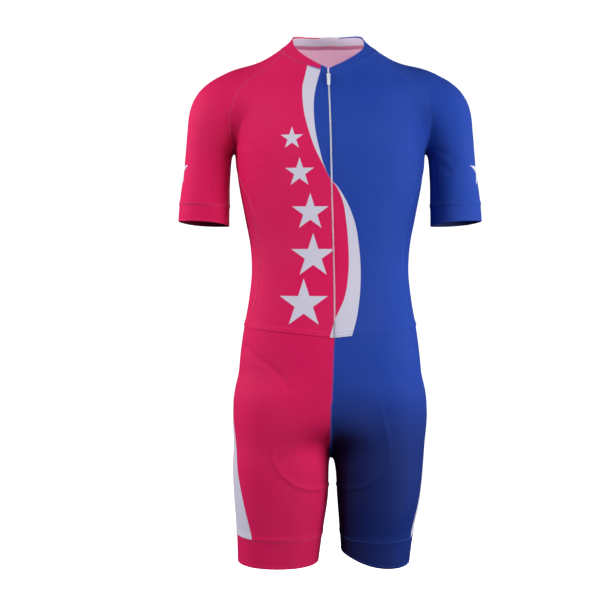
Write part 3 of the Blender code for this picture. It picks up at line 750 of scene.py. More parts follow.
# %% A star from an angle and a line
STAR_COLUMN = [  # middle and radius in metres, growing down the wearer's right front
    (-0.067, -0.175, 0.0200), (-0.054, -0.233, 0.0255), (-0.036, -0.300, 0.0325), (-0.031, -0.374, 0.0390),
    (-0.047, -0.455, 0.0430),
]
SLEEVE_STARS = {PINK: (-0.004, -0.222, 0.027), BLUE: (-0.009, -0.224, 0.029)}  # the same, seen from the side
SLEEVE_STAR_FROM = 0.222  # how far out an arm's outer side begins
TIP = math.radians(36)
WAIST_SHARE = 0.382  # a plain star's inner corners against its tips


def star(tree, across_axis, up_axis, middle_across, middle_up, radius):
    """1 inside a star that stands on the plane of two coordinates, 0 outside it."""
    x = node(tree, "Math", {0: across_axis, 1: middle_across}, operation="SUBTRACT")
    z = node(tree, "Math", {0: up_axis, 1: middle_up}, operation="SUBTRACT")
    turned = node(tree, "Math", {0: x, 1: z}, operation="ARCTAN2")
    folded = node(tree, "Math", {0: turned, 1: TIP}, operation="PINGPONG")
    flat = node(tree, "CombineXYZ", {0: x, 1: z})
    far = node(tree, "VectorMath", {0: flat}, operation="LENGTH")
    inner = (radius * WAIST_SHARE * math.cos(TIP), radius * WAIST_SHARE * math.sin(TIP))
    slant = math.atan2(radius - inner[0], inner[1])  # the direction that the edge faces
    leaning = node(tree, "Math", {0: folded, 1: slant}, operation="SUBTRACT")
    facing = node(tree, "Math", {0: leaning}, operation="COSINE")
    out = node(tree, "Math", {0: (far, "Value"), 1: facing}, operation="MULTIPLY")
    reach = radius * math.cos(slant)
    return node(tree, "MapRange", {0: out, 1: reach + EDGE * MM / 2, 2: reach - EDGE * MM / 2})


def paint_right_front(tree, place):
    """The band's print, with the column of stars on it."""
    ground = paint_band(tree, place)
    for middle_x, middle_z, radius in STAR_COLUMN:
        shown = star(tree, (place, "X"), (place, "Z"), middle_x, middle_z, radius)
        ground = node(tree, "Mix", {0: shown, 6: ground, 7: WHITE}, data_type="RGBA")
    return ground


# %% Print of the sleeves
def paint_sleeve(ground):
    """One colour, with a star on the outer side of the arm."""

    def paint(tree, place):
        shown = star(tree, (place, "Y"), (place, "Z"), *SLEEVE_STARS[ground])
        out = node(tree, "Math", {0: (place, "X")}, operation="ABSOLUTE")
        outer = node(tree, "Math", {0: out, 1: SLEEVE_STAR_FROM}, operation="GREATER_THAN")
        both = node(tree, "Math", {0: shown, 1: outer}, operation="MULTIPLY")
        return node(tree, "Mix", {0: both, 6: ground, 7: WHITE}, data_type="RGBA")

    return paint


# %% Prints of the thighs and the shorts, with painted shade on the blue thigh
# the blue goes to navy between these heights: partly the print's own darkening, partly painted shade
DEEPENS_FROM, DEEPEST_AT = -0.53, -0.75  # heights in metres
OUTER_SIDE, INNER_SIDE, OUTER_SHARE = 0.14, 0.02, 0.55


def paint_thigh_and_shade(ground):
    """One colour; the blue goes to navy down the thigh, and less toward its outer side: partly the print's own
    darkening, partly painted shade.
    """
    if ground != BLUE:
        return lambda tree, place: ground

    def paint(tree, place):
        heights = {0: (place, "Z"), 1: DEEPENS_FROM, 2: DEEPEST_AT}
        low = node(tree, "MapRange", heights, interpolation_type="SMOOTHERSTEP")
        inner = node(tree, "MapRange", {0: (place, "X"), 1: OUTER_SIDE, 2: INNER_SIDE, 3: OUTER_SHARE, 4: 1.0})
        print_and_shade = node(tree, "Math", {0: low, 1: inner}, operation="MULTIPLY")
        return node(tree, "Mix", {0: print_and_shade, 6: ground, 7: NAVY}, data_type="RGBA")

    return paint


def paint_shorts(ground):
    """The thigh's colour, with its painted shade on the blue side, and a white blade down its outer side."""

    def paint(tree, place):
        blade = node(tree, "Attribute", attribute_name="blade")
        inside = node(tree, "MapRange", {0: (blade, "Fac"), 1: EDGE / 2, 2: -EDGE / 2})
        return node(tree, "Mix", {0: inside, 6: paint_thigh_and_shade(ground)(tree, place), 7: WHITE}, data_type="RGBA")

    return paint


# %% Prints of the collar
COLLAR_CHANGE, PATCH_HALF = -0.018, 0.018  # blue starts a little right of the zip


def paint_collar(tree, place):
    """Pink and blue, with a white patch at the back of the neck."""
    left = node(tree, "Math", {0: (place, "X"), 1: COLLAR_CHANGE}, operation="GREATER_THAN")
    halves = node(tree, "Mix", {0: left, 6: PINK, 7: BLUE}, data_type="RGBA")
    out = node(tree, "Math", {0: (place, "X")}, operation="ABSOLUTE")
    near = node(tree, "Math", {0: out, 1: PATCH_HALF}, operation="LESS_THAN")
    behind = node(tree, "Math", {0: (place, "Y"), 1: 0.0}, operation="GREATER_THAN")
    patch = node(tree, "Math", {0: near, 1: behind}, operation="MULTIPLY")
    return node(tree, "Mix", {0: patch, 6: halves, 7: WHITE}, data_type="RGBA")


BINDING_WIDTH, PRINT_TURNS_IN = 7, 2


def paint_collar_lining(tree, place):
    """Pale lining, with the rose binding that covers the neck seam and the print turned in over the top."""
    edge = node(tree, "Attribute", attribute_name="from_seam")
    lining = node(tree, "MapRange", {0: (edge, "Fac"), 1: BINDING_WIDTH - 0.5, 2: BINDING_WIDTH + 0.5})
    bound = node(tree, "Mix", {0: lining, 6: colour("C4708F"), 7: colour("CFC0D2")}, data_type="RGBA")
    top = node(tree, "Attribute", attribute_name="from_hem")
    turned = node(tree, "MapRange", {0: (top, "Fac"), 1: PRINT_TURNS_IN + 0.2, 2: PRINT_TURNS_IN - 0.2})
    return node(tree, "Mix", {0: turned, 6: bound, 7: paint_collar(tree, place)}, data_type="RGBA")


# %% [markdown]
# ## The wrong side
#
# The print is only on the outside. The dye strikes through a little, so the wrong side of the top is a pale tint of
# it, and brushed, because the loops there lie every way; its pink is made paler still, nearly white: painted light on
# the inside, which lies in shade. Sleeves, cuffs, legs and bands are dark inside: painted shade, because less light
# reaches there through the cloth.

# %% Make the cloths
cloths = {
    "band print": jersey("jersey, band print", paint_band),
    "band and stars": jersey("jersey, band and star print", paint_right_front),
    "collar": jersey("jersey, collar print", paint_collar),
    "collar lining": jersey("brushed collar lining", paint_collar_lining, roughness=0.8, sheen=0.1, bump=0.2),
}
# for each side: the top's pale wrong side, the pink one painted lighter, then the painted shade inside sleeves, cuffs,
# legs and bands
WRONG_SIDES = {"right": ("FFC3E0", "8E2A50"), "left": ("A9AEDC", "2A3468")}


def paint_plain(code):
    """One colour with no print."""
    return lambda tree, place: colour(code)


for word, tint in (("right", PINK), ("left", BLUE)):
    cloths["sleeve " + word] = jersey(f"jersey, {word} sleeve print", paint_sleeve(tint))
    cloths["shorts " + word] = jersey(f"jersey, {word} shorts print", paint_shorts(tint))
    # the left cuff lies above the thigh's painted shade, and the left leg band lies where that shade is deepest
    cloths["elastic " + word] = jersey(f"elastic jersey, {word} side", paint_thigh_and_shade(tint), bump=0.2)
    for kind, code in zip(("wrong ", "shade-painted wrong "), WRONG_SIDES[word]):
        inside_name = f"{kind}side, {word} jersey"
        cloths[kind + word] = jersey(inside_name, paint_plain(code), roughness=0.8, sheen=0.1, bump=0.2)
print("cloths:", ", ".join(cloths))

# %% [markdown]
# ## The top
#
# Two fronts and a back. The top's hem lies over the shorts and is stitched down there, so it stands out by its own
# thickness just above the waist seam. The band's edges are worked out at every point of the mesh. Each finished sheet
# takes the place of one plain solid of the imported part, and is kept with its grid of points, for its seams.

# %% Join a piece to the imported part
CLOTH, BAND_CLOTH, COLLAR_CLOTH = 1.2, 1.6, 1.8
sheets = {}


def wear(piece, body, slot_name, *nodes):
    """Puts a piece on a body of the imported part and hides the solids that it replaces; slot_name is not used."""
    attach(piece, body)
    if nodes:
        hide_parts(*nodes)


def finish_sheet(name, piece, points, slot_name, relief, thickness, faces):
    """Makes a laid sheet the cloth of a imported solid: faces are the finishes of its right side and wrong side."""
    thicken(piece, relief, thickness, [cloths[face] for face in faces])
    wear(piece, "suit", slot_name, name)
    sheets[name] = (piece, points)


def declare(points):
    """Measures the sheet down and along, and does nothing with it."""
    down, along = measured(points, 0), measured(points, 1)


def band_edges(piece, rows):
    """Keeps how far each point is past the band's two edges."""
    x, _, z = places(piece).T
    store(piece, "pink_edge", x - read(rows, "pink", z))
    store(piece, "blue_edge", x - read(rows, "blue", z))


# %% [markdown]
# ## Folds
#
# Tight cloth has few folds, and they start where it is pulled: at the armpit, at the bend of the hip and down the
# inside of each sleeve. A sculpting brush would draw them by hand; here each is a short line of points seen from the
# front, and the cloth sinks near it, most in the middle.

# %% Where the folds lie
FOLD_WIDTH, ARMPIT_DEPTH, HIP_DEPTH = 6, 1.3, 1.8
SLEEVE_FOLD_WIDTH, SLEEVE_FOLD_DEPTH = 4, 1.6
ARMPIT_FOLDS = [
    [(-172, -196), (-186, -206), (-206, -226)], [(-178, -186), (-196, -192), (-214, -206)],
    [(-160, -200), (-148, -216), (-142, -236)], [(-152, -176), (-134, -190), (-118, -210)],
]
SLEEVE_FOLDS = {
    RIGHT: [(-194, -196), (-203, -225), (-208, -250), (-209, -268)],
    LEFT: [(176, -190), (182, -215), (184, -245), (185, -272)],
}
HIP_CREASES = [
    [(-148, -532), (-130, -548), (-106, -562), (-84, -582), (-74, -598)], [(142, -532), (126, -552), (112, -566)],
]
print(len(ARMPIT_FOLDS), "folds from each armpit,", len(HIP_CREASES), "creases at the hips")

# %% Hems and folds as relief
LAP_RISE, LAP_HEIGHT = 1.4, 14
HEM_ROLL, ROLL_HEIGHT = 0.8, 9


def hem_rise(from_hem):
    """The top's hem stands out where it is lapped over the shorts."""
    return LAP_RISE * smoothstep(1 - from_hem / LAP_HEIGHT)


def hem_roll(from_hem):
    """Cloth rolls out a little above a band that grips, and its seam there is double."""
    return HEM_ROLL * smoothstep(1 - from_hem / ROLL_HEIGHT) + seam_relief(from_hem)


def near_line(points, line):
    """How far points are, seen from the front, from a line that is given by x and z."""
    flat, near = points[:, [0, 2]], np.full(len(points), 999.0)
    for start, end in zip(np.array(line[:-1], float), np.array(line[1:], float)):
        run = end - start
        share = np.clip((flat - start) @ run / (run @ run), 0, 1)
        near = np.minimum(near, np.linalg.norm(flat - start - share[:, None] * run, axis=1))
    return near


def crease(points, line, width, depth):
    """A soft fold in the front: a groove along a line."""
    return np.where(points[:, 1] < 0, -depth * np.exp(-((near_line(points, line) / width) ** 2)), 0)


def on_right(points):
    """The points, with those on the wearer's left mirrored to the right."""
    return np.c_[-np.abs(points[:, 0]), points[:, 1:]]


def armpit_folds(piece):
    """Soft folds that run out from the armpit, the same on both sides."""
    return sum(crease(on_right(places(piece)), line, FOLD_WIDTH, ARMPIT_DEPTH) for line in ARMPIT_FOLDS)


print("the top's hem stands out", LAP_RISE, "mm over the shorts")

# %% The two fronts
for side, word, slot_name in SIDES:
    points = front(side)
    piece = lay("jersey_front_" + word, points, seams="top last", hems="bottom")
    band_edges(piece, BAND)
    relief = seam_relief(values(piece, "from_seam")) + hem_rise(values(piece, "from_hem")) + armpit_folds(piece)
    face = "band and stars" if side == RIGHT else "band print"
    finish_sheet("front_" + word, piece, points, slot_name, relief, CLOTH, (face, "wrong " + word))
    print("front_" + word, "has", len(piece.data.polygons), "faces")

# %% The back
BACK_BAND = table(
    "height pink blue",
    (20, 96, 120), (-60, 96, 119), (-110, 91, 113), (-160, 78, 100), (-220, 54, 76), (-280, 30, 50),
    (-340, 12, 30), (-400, 1, 16), (-460, -5, 9), (-520, -7, 5),
)
points = back()
piece = lay("jersey_back", points, seams="top first last", hems="bottom")
band_edges(piece, BACK_BAND)
relief = seam_relief(values(piece, "from_seam")) + hem_rise(values(piece, "from_hem"))
finish_sheet("back", piece, points, "blue_jersey", relief, CLOTH, ("band print", "wrong right"))

# %% [markdown]
# ## Sleeves, cuffs and collar
#
# A raglan sleeve runs up to the neck, so one sheet covers the shoulder and the upper arm. It is sewn shut under the
# arm. The cuff is a separate ring of doubled jersey that grips the arm, so the sleeve rolls out a little above it.

# %% Sleeves and cuffs on the suit
for side, word, slot_name in SIDES:
    points = sleeve(side)
    piece = lay("jersey_sleeve_" + word, points, seams="top first last", hems="bottom")
    relief = seam_relief(values(piece, "from_seam")) + hem_roll(values(piece, "from_hem")) + armpit_folds(piece)
    relief += crease(places(piece), SLEEVE_FOLDS[side], SLEEVE_FOLD_WIDTH, SLEEVE_FOLD_DEPTH)
    faces = ("sleeve " + word, "shade-painted wrong " + word)
    finish_sheet("sleeve_" + word, piece, points, slot_name, relief, CLOTH, faces)

    points = cuff(side)
    piece = lay("jersey_cuff_" + word, points, seams="top", hems="bottom", closed=True)
    relief, faces = seam_relief(values(piece, "from_seam")), ("elastic " + word, "shade-painted wrong " + word)
    finish_sheet("cuff_" + word, piece, points, slot_name, relief, BAND_CLOTH, faces)

# %% Collar
points = collar()
piece = lay("jersey_collar", points, seams="top", hems="bottom")
relief = seam_relief(values(piece, "from_seam"))
finish_sheet("collar", piece, points, "blue_jersey", relief, COLLAR_CLOTH, ("collar", "collar lining"))

# %% [markdown]
# ## The shorts
#
# Each leg is a front and a back quarter, joined at the side and inside the leg, and the legs meet at the centre seam,
# which turns under the crotch. A padded seat is sewn inside, and its rim shows through the thin cloth as a low ridge:
# an oval behind, and a line drawn in front.

# %% The seat pad's rim and the hollow
PAD_MIDDLE, PAD_HALF_HEIGHT, PAD_HALF_WIDTH = -700, 100, 105
RIM_BEHIND, RIM_IN_FRONT, RIM_WIDTH = 1.1, 2.0, 3.3
PAD_FRONT = [(-82, -625), (-91, -660), (-99, -700), (-98, -725), (-84, -748), (-58, -768), (-30, -777), (-2, -779)]


def pad_relief(points):
    """How far the rim of the seat pad inside the shorts lifts each point of their outside."""
    x, y, z = points.T
    reach = np.hypot(x / PAD_HALF_WIDTH, (z - PAD_MIDDLE) / PAD_HALF_HEIGHT)
    behind = RIM_BEHIND * np.exp(-(((reach - 0.95) / 0.035) ** 2)) * smoothstep(np.abs(x) / 30 - 0.5)
    in_front = -crease(on_right(points), PAD_FRONT, RIM_WIDTH, RIM_IN_FRONT) * smoothstep((-600 - z) / 60)
    return np.where(y > 0, behind, in_front)


HOLLOW_OUT, HOLLOW_HEIGHT, HOLLOW_WIDE, HOLLOW_HIGH, HOLLOW_DEPTH = 26, -708, 34, 24, 9


def hollow(points):
    """The cloth sinks a little below the belly, where the thighs begin."""
    x, y, z = points.T
    wide, high = (np.abs(x) - HOLLOW_OUT) / HOLLOW_WIDE, (z - HOLLOW_HEIGHT) / HOLLOW_HIGH
    return np.where(y < 0, -HOLLOW_DEPTH * np.exp(-(wide**2) - high**2), 0)


# %% The white blade down the thigh
BLADE = table(
    "height front back",
    (-600, 3, 1), (-620, 10, 8), (-700, 30, 16), (-790, 53, 22), (-840, 62, 24), (-880, 67, 25),
)
BLADE_TIP = -601
LEFT_TURNED = 22  # the left leg is turned a little, so its blade lies further back
FAR_OUTSIDE = 99


def blade(points, side):
    """How far each point is outside the white blade on the thigh's outer side, in millimetres."""
    x, y, z = points.T
    turned = LEFT_TURNED if side == LEFT else 0
    edge = np.maximum(turned - read(BLADE, "front", z) - y, y - turned - read(BLADE, "back", z))
    on_outer_side = side * x > read(leg_rows(side), "out", z) + 20
    return np.where(on_outer_side & (z <= BLADE_TIP), edge, FAR_OUTSIDE)


# %% Shorts and leg bands
for side, word, slot_name in SIDES:
    for way, facing in ((-1, "front"), (1, "back")):
        points = shorts(side, way)
        piece = lay(f"jersey_shorts_{facing}_{word}", points, seams="first last", hems="bottom")
        spots = places(piece)
        store(piece, "blade", blade(spots, side))
        relief = seam_relief(values(piece, "from_seam")) + hem_roll(values(piece, "from_hem"))
        relief += pad_relief(spots) + hollow(spots)
        relief += sum(crease(spots, line, FOLD_WIDTH, HIP_DEPTH) for line in HIP_CREASES)
        faces = ("shorts " + word, "shade-painted wrong " + word)
        finish_sheet(f"shorts_{facing}_{word}", piece, points, slot_name, relief, CLOTH, faces)

    points = leg_band(side)
    piece = lay("jersey_leg_band_" + word, points, seams="top", hems="bottom", closed=True)
    relief, faces = seam_relief(values(piece, "from_seam")), ("elastic " + word, "shade-painted wrong " + word)
    finish_sheet("leg_band_" + word, piece, points, slot_name, relief, BAND_CLOTH, faces)
print(len(sheets), "pieces of jersey")

# %% [markdown]
# ## The stitching
#
# Stretch cloth is joined by flatlock: two edges lie side by side and a looped thread zigzags over them, so the seam
# is flat against the skin. Hems are held by a running stitch that dips in and out. Both are made as fine tubes of
# few faces, laid along the same seam lines, because there are thousands of stitches.

# %% Thread
THREAD_RADIUS = 0.15
TWIST_SCALE = 700.0  # noise cells to the metre: a change of tone each 1.4 mm, coarser than real, so that it shows


def thread_finish(name, code):
    """Textured polyester thread: dull and fluffy, a little lighter than the print beside it."""
    material, tree, shader = start_finish(name, {"Roughness": 0.8, "Specular IOR Level": 0.1})
    twist = node(tree, "TexNoise", {"Vector": (node(tree, "TexCoord"), "Object"), "Scale": TWIST_SCALE})
    shade = node(tree, "MapRange", {0: (twist, "Fac"), 3: 0.75, 4: 1.1})
    tint = node(tree, "VectorMath", {0: colour(code)[:3], "Scale": shade}, operation="SCALE")
    tree.links.new(tint.outputs[0], shader.inputs["Base Color"])
    return material


threads = {"right": thread_finish("pink thread", "F4558C"), "left": thread_finish("blue thread", "4266CC")}


def tubes(name, paths, radius, finish):
    """Thin tubes of four sides along paths of points in millimetres."""
    curve = bpy.data.curves.new(name, "CURVE")
    curve.dimensions = "3D"
    curve.bevel_depth = radius * MM
    curve.bevel_resolution = 0
    for path in paths:
        spline = curve.splines.new("POLY")
        spline.points.add(len(path) - 1)
        spline.points.foreach_set("co", np.c_[path * MM, np.ones(len(path))].ravel())
    made = bpy.data.objects.new(name, curve)
    bpy.context.scene.collection.objects.link(made)
    make_active(made)
    bpy.ops.object.convert(target="MESH")
    made = bpy.context.object
    made.data.materials.clear()
    made.data.materials.append(finish)
    return made


# %% Stitches along a line
def seam_frame(line, step):
    """Points evenly along a line on the cloth, with the directions away from it and across the line."""
    length = np.linalg.norm(np.diff(line, axis=0), axis=1).sum()
    spots = evenly(line, max(4, int(length / step)))
    away, along = normals(spots), np.gradient(spots, axis=0)
    aside = np.cross(along, away)
    return spots, away, aside / np.linalg.norm(aside, axis=1, keepdims=True)


def flatlock(line, half=2.1, stitch=2.6, lift=0.3):
    """A zigzag of looper thread between two rows of needle thread, with more of it pressed into the join."""
    spots, away, aside = seam_frame(line, stitch / 2)
    swing = np.where(np.arange(len(spots)) % 2, 1, -1)[:, None]
    rows = [spots + away * (lift + 0.12 * swing) + aside * half * way for way in (-1, 1)]
    pressed = [(spots + away * 0.15 + aside * way)[::2] for way in (-0.25, 0, 0.25)]
    return [spots + away * lift + aside * half * swing, *rows, *pressed]


def running(line, offset, stitch=3.0, lift=0.2):
    """A running stitch beside a line, dipping through the cloth between stitches."""
    spots, away, aside = seam_frame(line, stitch / 5)
    up = np.where(np.arange(len(spots)) % 5 < 4, lift, -0.6)[:, None]
    return [spots + away * up + aside * offset]


# %% Lines to sew along
def edge_line(name, row=None, column=None, rise=0.0):
    """One row or column of a sheet's points, lifted a little off the cloth."""
    points = sheets[name][1]
    line = points[row] if row is not None else points[:, column]
    return line + normals(line) * rise


def lapped(name, height):
    """A line along the top's hem, that many millimetres above its edge."""
    points = sheets[name][1]
    rows = height / (measured(points, 0)[-1] - measured(points, 0)[-2]).mean()
    low = int(rows)
    line = points[-1 - low] + (points[-2 - low] - points[-1 - low]) * (rows - low)
    return line + normals(line) * hem_rise(height)


def hem_rows(name, part=slice(None)):
    """The two rows of running stitch that hold the top's hem down, or a part of them."""
    return [path for height in (3, 8) for path in running(lapped(name, height)[part], 0)]


def banded(name):
    """The flatlock at a band's upper edge and the running stitch near its hem."""
    return flatlock(edge_line(name, row=0, rise=0.4)) + running(edge_line(name, row=-2), 0)


# %% Sew the sides of the suit
stitching = {}


def sew(name, paths, colour_word):
    """Makes the threads of one piece, in one side's colour, and keeps them by the piece's name."""
    stitching[name] = tubes("thread_" + name, paths, THREAD_RADIUS, threads[colour_word])


LAP_AT_TOP, LAP_AT_WAIST, LAP_CLEAR = 3, 5, 4  # rows left free, where another piece covers the seam
CROTCH_END = HIP_ROWS + CROTCH_ROWS
for _, word, _ in SIDES:
    front_name, sleeve_name, shorts_name = "front_" + word, "sleeve_" + word, "shorts_front_" + word
    sew(front_name, flatlock(edge_line(front_name, column=-1)[:-LAP_AT_TOP]) + hem_rows(front_name), word)
    raglan_paths = flatlock(edge_line(sleeve_name, column=-1)[: RAGLAN_ROWS + 1])
    sew(sleeve_name, raglan_paths + flatlock(edge_line(sleeve_name, column=0)[RAGLAN_ROWS:]), word)
    sew("cuff_" + word, banded("cuff_" + word), word)
    side_paths = flatlock(edge_line(shorts_name, column=-1)[LAP_AT_WAIST:])
    sew(shorts_name, side_paths + flatlock(edge_line(shorts_name, column=0)[CROTCH_END:]), word)
    sew("leg_band_" + word, banded("leg_band_" + word), word)

# %% Sew the back, the centre and the collar
middle = BACK_COLUMNS // 2
for word, half in (("right", slice(0, middle + 1)), ("left", slice(middle, None))):
    sew("back_" + word, hem_rows("back", half), word)
for facing in ("front", "back"):
    line = edge_line(f"shorts_{facing}_left", column=0)[LAP_CLEAR : CROTCH_END + 1]
    sew("centre_" + facing, flatlock(line), "left")
low, high = edge_line("collar", row=0), edge_line("collar", row=-1)
middle = COLLAR_COLUMNS // 2
pink_from = int((low[:middle, 0] * MM > COLLAR_CHANGE).sum())
pink_spans, blue_spans = [slice(pink_from, middle + 1)], [slice(0, pink_from + 1), slice(middle, None)]
for word, spans in (("right", pink_spans), ("left", blue_spans)):
    paths = [path for span in spans for path in flatlock(low[span]) + running(high[span], 1.5)]
    sew("collar_" + word, paths, word)

# %% Join the thread to the cloth
for name, piece in stitching.items():
    wear(piece, "suit", "blue_jersey" if "left" in name else "pink_jersey")
for name, (piece, points) in sheets.items():
    declare(points)
print(sum(len(piece.data.polygons) for piece in stitching.values()), "faces of thread")

# %% [markdown]
# ## The zip
#
# A coil zip is two springs of nylon wire, one on each edge, that hook between each other's turns. Each spring is a
# tube along a helix. A woven tape carries them behind the cloth, and the slider has a small pull on a bail.

# %% Finishes of the zip
DYED_PINK_FROM, WHITE_FROM = -0.248, -0.4855  # heights in metres


def nylon(tree, place):
    """The coil is dyed with the print: pale blue, then pale pink where the pink crosses it, and white at the waist."""
    low = node(tree, "MapRange", {0: (place, "Z"), 1: DYED_PINK_FROM + 0.002, 2: DYED_PINK_FROM - 0.002})
    dyed = node(tree, "Mix", {0: low, 6: colour("F0F5FF"), 7: colour("FFD0E2")}, data_type="RGBA")
    waist = node(tree, "MapRange", {0: (place, "Z"), 1: WHITE_FROM + 0.0015, 2: WHITE_FROM - 0.0015})
    return node(tree, "Mix", {0: waist, 6: dyed, 7: WHITE}, data_type="RGBA")


def plain_finish(name, paint, roughness, grain_scale, grain_depth):
    """A finish with a fine grain on it, as moulded, woven and lacquered things have: noise cells to the metre."""
    material, tree, shader = start_finish(name, {"Roughness": roughness})
    place = node(tree, "SeparateXYZ", {0: (node(tree, "TexCoord"), "Object")})
    grain = node(tree, "TexNoise", {"Vector": (node(tree, "TexCoord"), "Object"), "Scale": grain_scale})
    bump = node(tree, "Bump", {"Height": (grain, "Fac"), "Strength": 0.3, "Distance": grain_depth})
    tree.links.new(bump.outputs[0], shader.inputs["Normal"])
    share = node(tree, "Math", {0: (grain, "Fac"), 1: 0.12}, operation="MULTIPLY")
    shade = node(tree, "Mix", {0: share, 6: paint(tree, place), 7: colour("B9BBC8")}, data_type="RGBA")
    tree.links.new(shade.outputs[2], shader.inputs["Base Color"])
    return material


coil_finish = plain_finish("nylon coil, dyed", nylon, 0.4, 1500.0, 0.0001)  # smooth monofilament
tape_finish = plain_finish("woven polyester tape, navy", paint_plain("27305F"), 0.85, 1800.0, 0.0003)
zinc_finish = plain_finish("zinc, white lacquer", paint_plain("E8EAF2"), 0.3, 500.0, 0.0001)  # sprayed over a casting

# %% Coil
heights = np.linspace(read(COLLAR_TOP, "height", 0), read(WAIST, "height", 0) - LAP_OVER, 500)
zip_line = across(read(CENTRE, "out", heights), heights, 1, -1)
zip_away = normals(zip_line)
zip_line = zip_line + zip_away * hem_rise(heights[:, None] - heights[-1])
COIL_PITCH, COIL_POINTS, COIL_RADIUS = 1.1, 8, 0.28
COIL_APART, COIL_HALF_WIDTH, COIL_HALF_HEIGHT, COIL_LIFT = 0.62, 0.72, 0.5, 0.6
length = np.linalg.norm(np.diff(zip_line, axis=0), axis=1).sum()
turns = int(length / COIL_PITCH)
spots = evenly(zip_line, turns * COIL_POINTS)
away = evenly(zip_away, turns * COIL_POINTS)
phase = np.arange(len(spots)) / COIL_POINTS * 2 * np.pi
coils = []
for side in (RIGHT, LEFT):
    turned = phase + (np.pi if side == LEFT else 0)
    aside = np.array([1.0, 0, 0]) * (side * COIL_APART + COIL_HALF_WIDTH * np.cos(turned))[:, None]
    coils.append(spots + aside + away * (COIL_LIFT + COIL_HALF_HEIGHT * np.sin(turned))[:, None])
coil = tubes("zip_coil", coils, COIL_RADIUS, coil_finish)
wear(coil, "suit", "white_coil", "zip_chain")
print(turns, "turns of coil on each side, along", round(length), "mm")

# %% Tape
TAPE_WIDTH, TAPE_CLOTH = 24, 1.0
tape_heights = np.linspace(read(NECK_SEAM, "height", 0), read(WAIST, "height", 0) + 4, 90)
outs = np.linspace(-TAPE_WIDTH / 2, TAPE_WIDTH / 2, 9)
points = across(read(CENTRE, "out", tape_heights)[:, None] + outs, tape_heights[:, None], 1, -1)
tape = lay("zip_tape_woven", points)
thicken(tape, np.full(len(tape.data.vertices), -CLOTH - 0.3), TAPE_CLOTH, (tape_finish, tape_finish))
wear(tape, "suit", "navy_tape", "zip_tape")
declare(points)

# %% [markdown]
# ## Slider and pull
#
# Both are cast zinc. The slider is a box narrowed toward its lower end, with its edges rounded, and a wire bail over
# it. The pull is a flat tab that hangs from the bail and swings up, so it rides on a body of its own.

# %% Where the pull hangs
SLIDER = (7.0, 2.4, 10.0)
SLIDER_BELOW_NECK, CHAIN_RISE, SEAM_GAP, PULL_LIFT = 10, 0.4, 0.3, 1.35
height = read(NECK_SEAM, "height", 0) - SLIDER_BELOW_NECK
at = across([read(CENTRE, "out", height)], [height], 1, -1)
out = normals(at)[0]
lift = CHAIN_RISE + SEAM_GAP + SLIDER[1] + PULL_LIFT
hinge = (at[0] + out * (0, lift, lift)) * MM
lean = math.atan2(-out[2], -out[1])


def apply_place():
    """Moves an object's place, turn and size into its mesh."""
    bpy.ops.object.transform_apply(location=True, rotation=True, scale=True)


def edit_where(piece, kind, chosen):
    """Goes into edit mode with the vertices or edges selected that a test of their points picks."""
    points, edges = piece.data.vertices, piece.data.edges
    bpy.context.tool_settings.mesh_select_mode = (kind == "vertices", kind == "edges", False)
    bpy.ops.object.mode_set(mode="EDIT")
    bpy.ops.mesh.select_all(action="DESELECT")
    bpy.ops.object.mode_set(mode="OBJECT")
    for part in points if kind == "vertices" else edges:
        part.select = chosen(*([part.co] if kind == "vertices" else [points[k].co for k in part.vertices]))
    bpy.ops.object.mode_set(mode="EDIT")


def settle(piece, body, *nodes):
    """Turns and moves a piece that was modelled about the hinge to its place, and leaves its object at the origin."""
    make_active(piece)
    piece.location, piece.rotation_euler = hinge, (lean, 0, 0)
    apply_place()
    bpy.ops.object.shade_smooth_by_angle(angle=math.radians(40))
    wear(piece, body, "lacquered_zinc", *nodes)


print("the pull hangs from", [round(float(c), 5) for c in hinge])

# %% The slider's body and bail
SLIDER_NARROWS, SLIDER_ROUNDING = 0.78, 0.7
bpy.ops.mesh.primitive_cube_add(size=1)
slider = bpy.context.object
slider.name = slider.data.name = "slider_body"
slider.scale = [size * MM for size in SLIDER]
slider.location = (0, (SLIDER[1] / 2 + PULL_LIFT) * MM, 0)
apply_place()
edit_where(slider, "vertices", lambda end: end.z < 0)
bpy.ops.transform.resize(value=(SLIDER_NARROWS, 1, 1))
bpy.ops.mesh.select_all(action="SELECT")
bpy.ops.mesh.bevel(offset=SLIDER_ROUNDING * MM, segments=3)
bpy.ops.object.mode_set(mode="OBJECT")
slider.data.materials.append(zinc_finish)
settle(slider, "suit", "zip_slider")

BAIL_REACH, BAIL_RADIUS = 3.2, 0.65
sweep, sunk = np.radians(np.linspace(0, 180, 25)), SLIDER[1] / 3  # the wire's feet are sunk into the slider
rise = PULL_LIFT + sunk - (BAIL_REACH + sunk) * np.sin(sweep)
bail = tubes("slider_bail", [np.stack([0 * sweep, rise, BAIL_REACH * np.cos(sweep)], axis=1)], BAIL_RADIUS, zinc_finish)
apply_modifier(bail, "SUBSURF", levels=2, render_levels=2)
settle(bail, "suit")

# %% The pull
PULL_LENGTH, PULL_WIDTH, PULL_THICKNESS, PULL_EYE, PULL_BAR = 19, 5.2, 1.0, (2.8, 5.4), 0.9
PULL_CORNER, EYE_CORNER, EYE_CUTS_THROUGH, PULL_EDGE = 1.5, 0.85, 4, 0.25


def tab(name, width, top, bottom, thickness, corner):
    """A flat tab with rounded corners, standing in the hinge's plane."""
    bpy.ops.mesh.primitive_cube_add(size=1, location=(0, 0, (top + bottom) / 2 * MM))
    made = bpy.context.object
    made.name = made.data.name = name
    made.scale = (width * MM, thickness * MM, (top - bottom) * MM)
    apply_place()
    edit_where(made, "edges", lambda a, b: abs(a.y - b.y) > thickness * MM / 2)
    bpy.ops.mesh.bevel(offset=corner * MM, segments=6)
    bpy.ops.object.mode_set(mode="OBJECT")
    return made


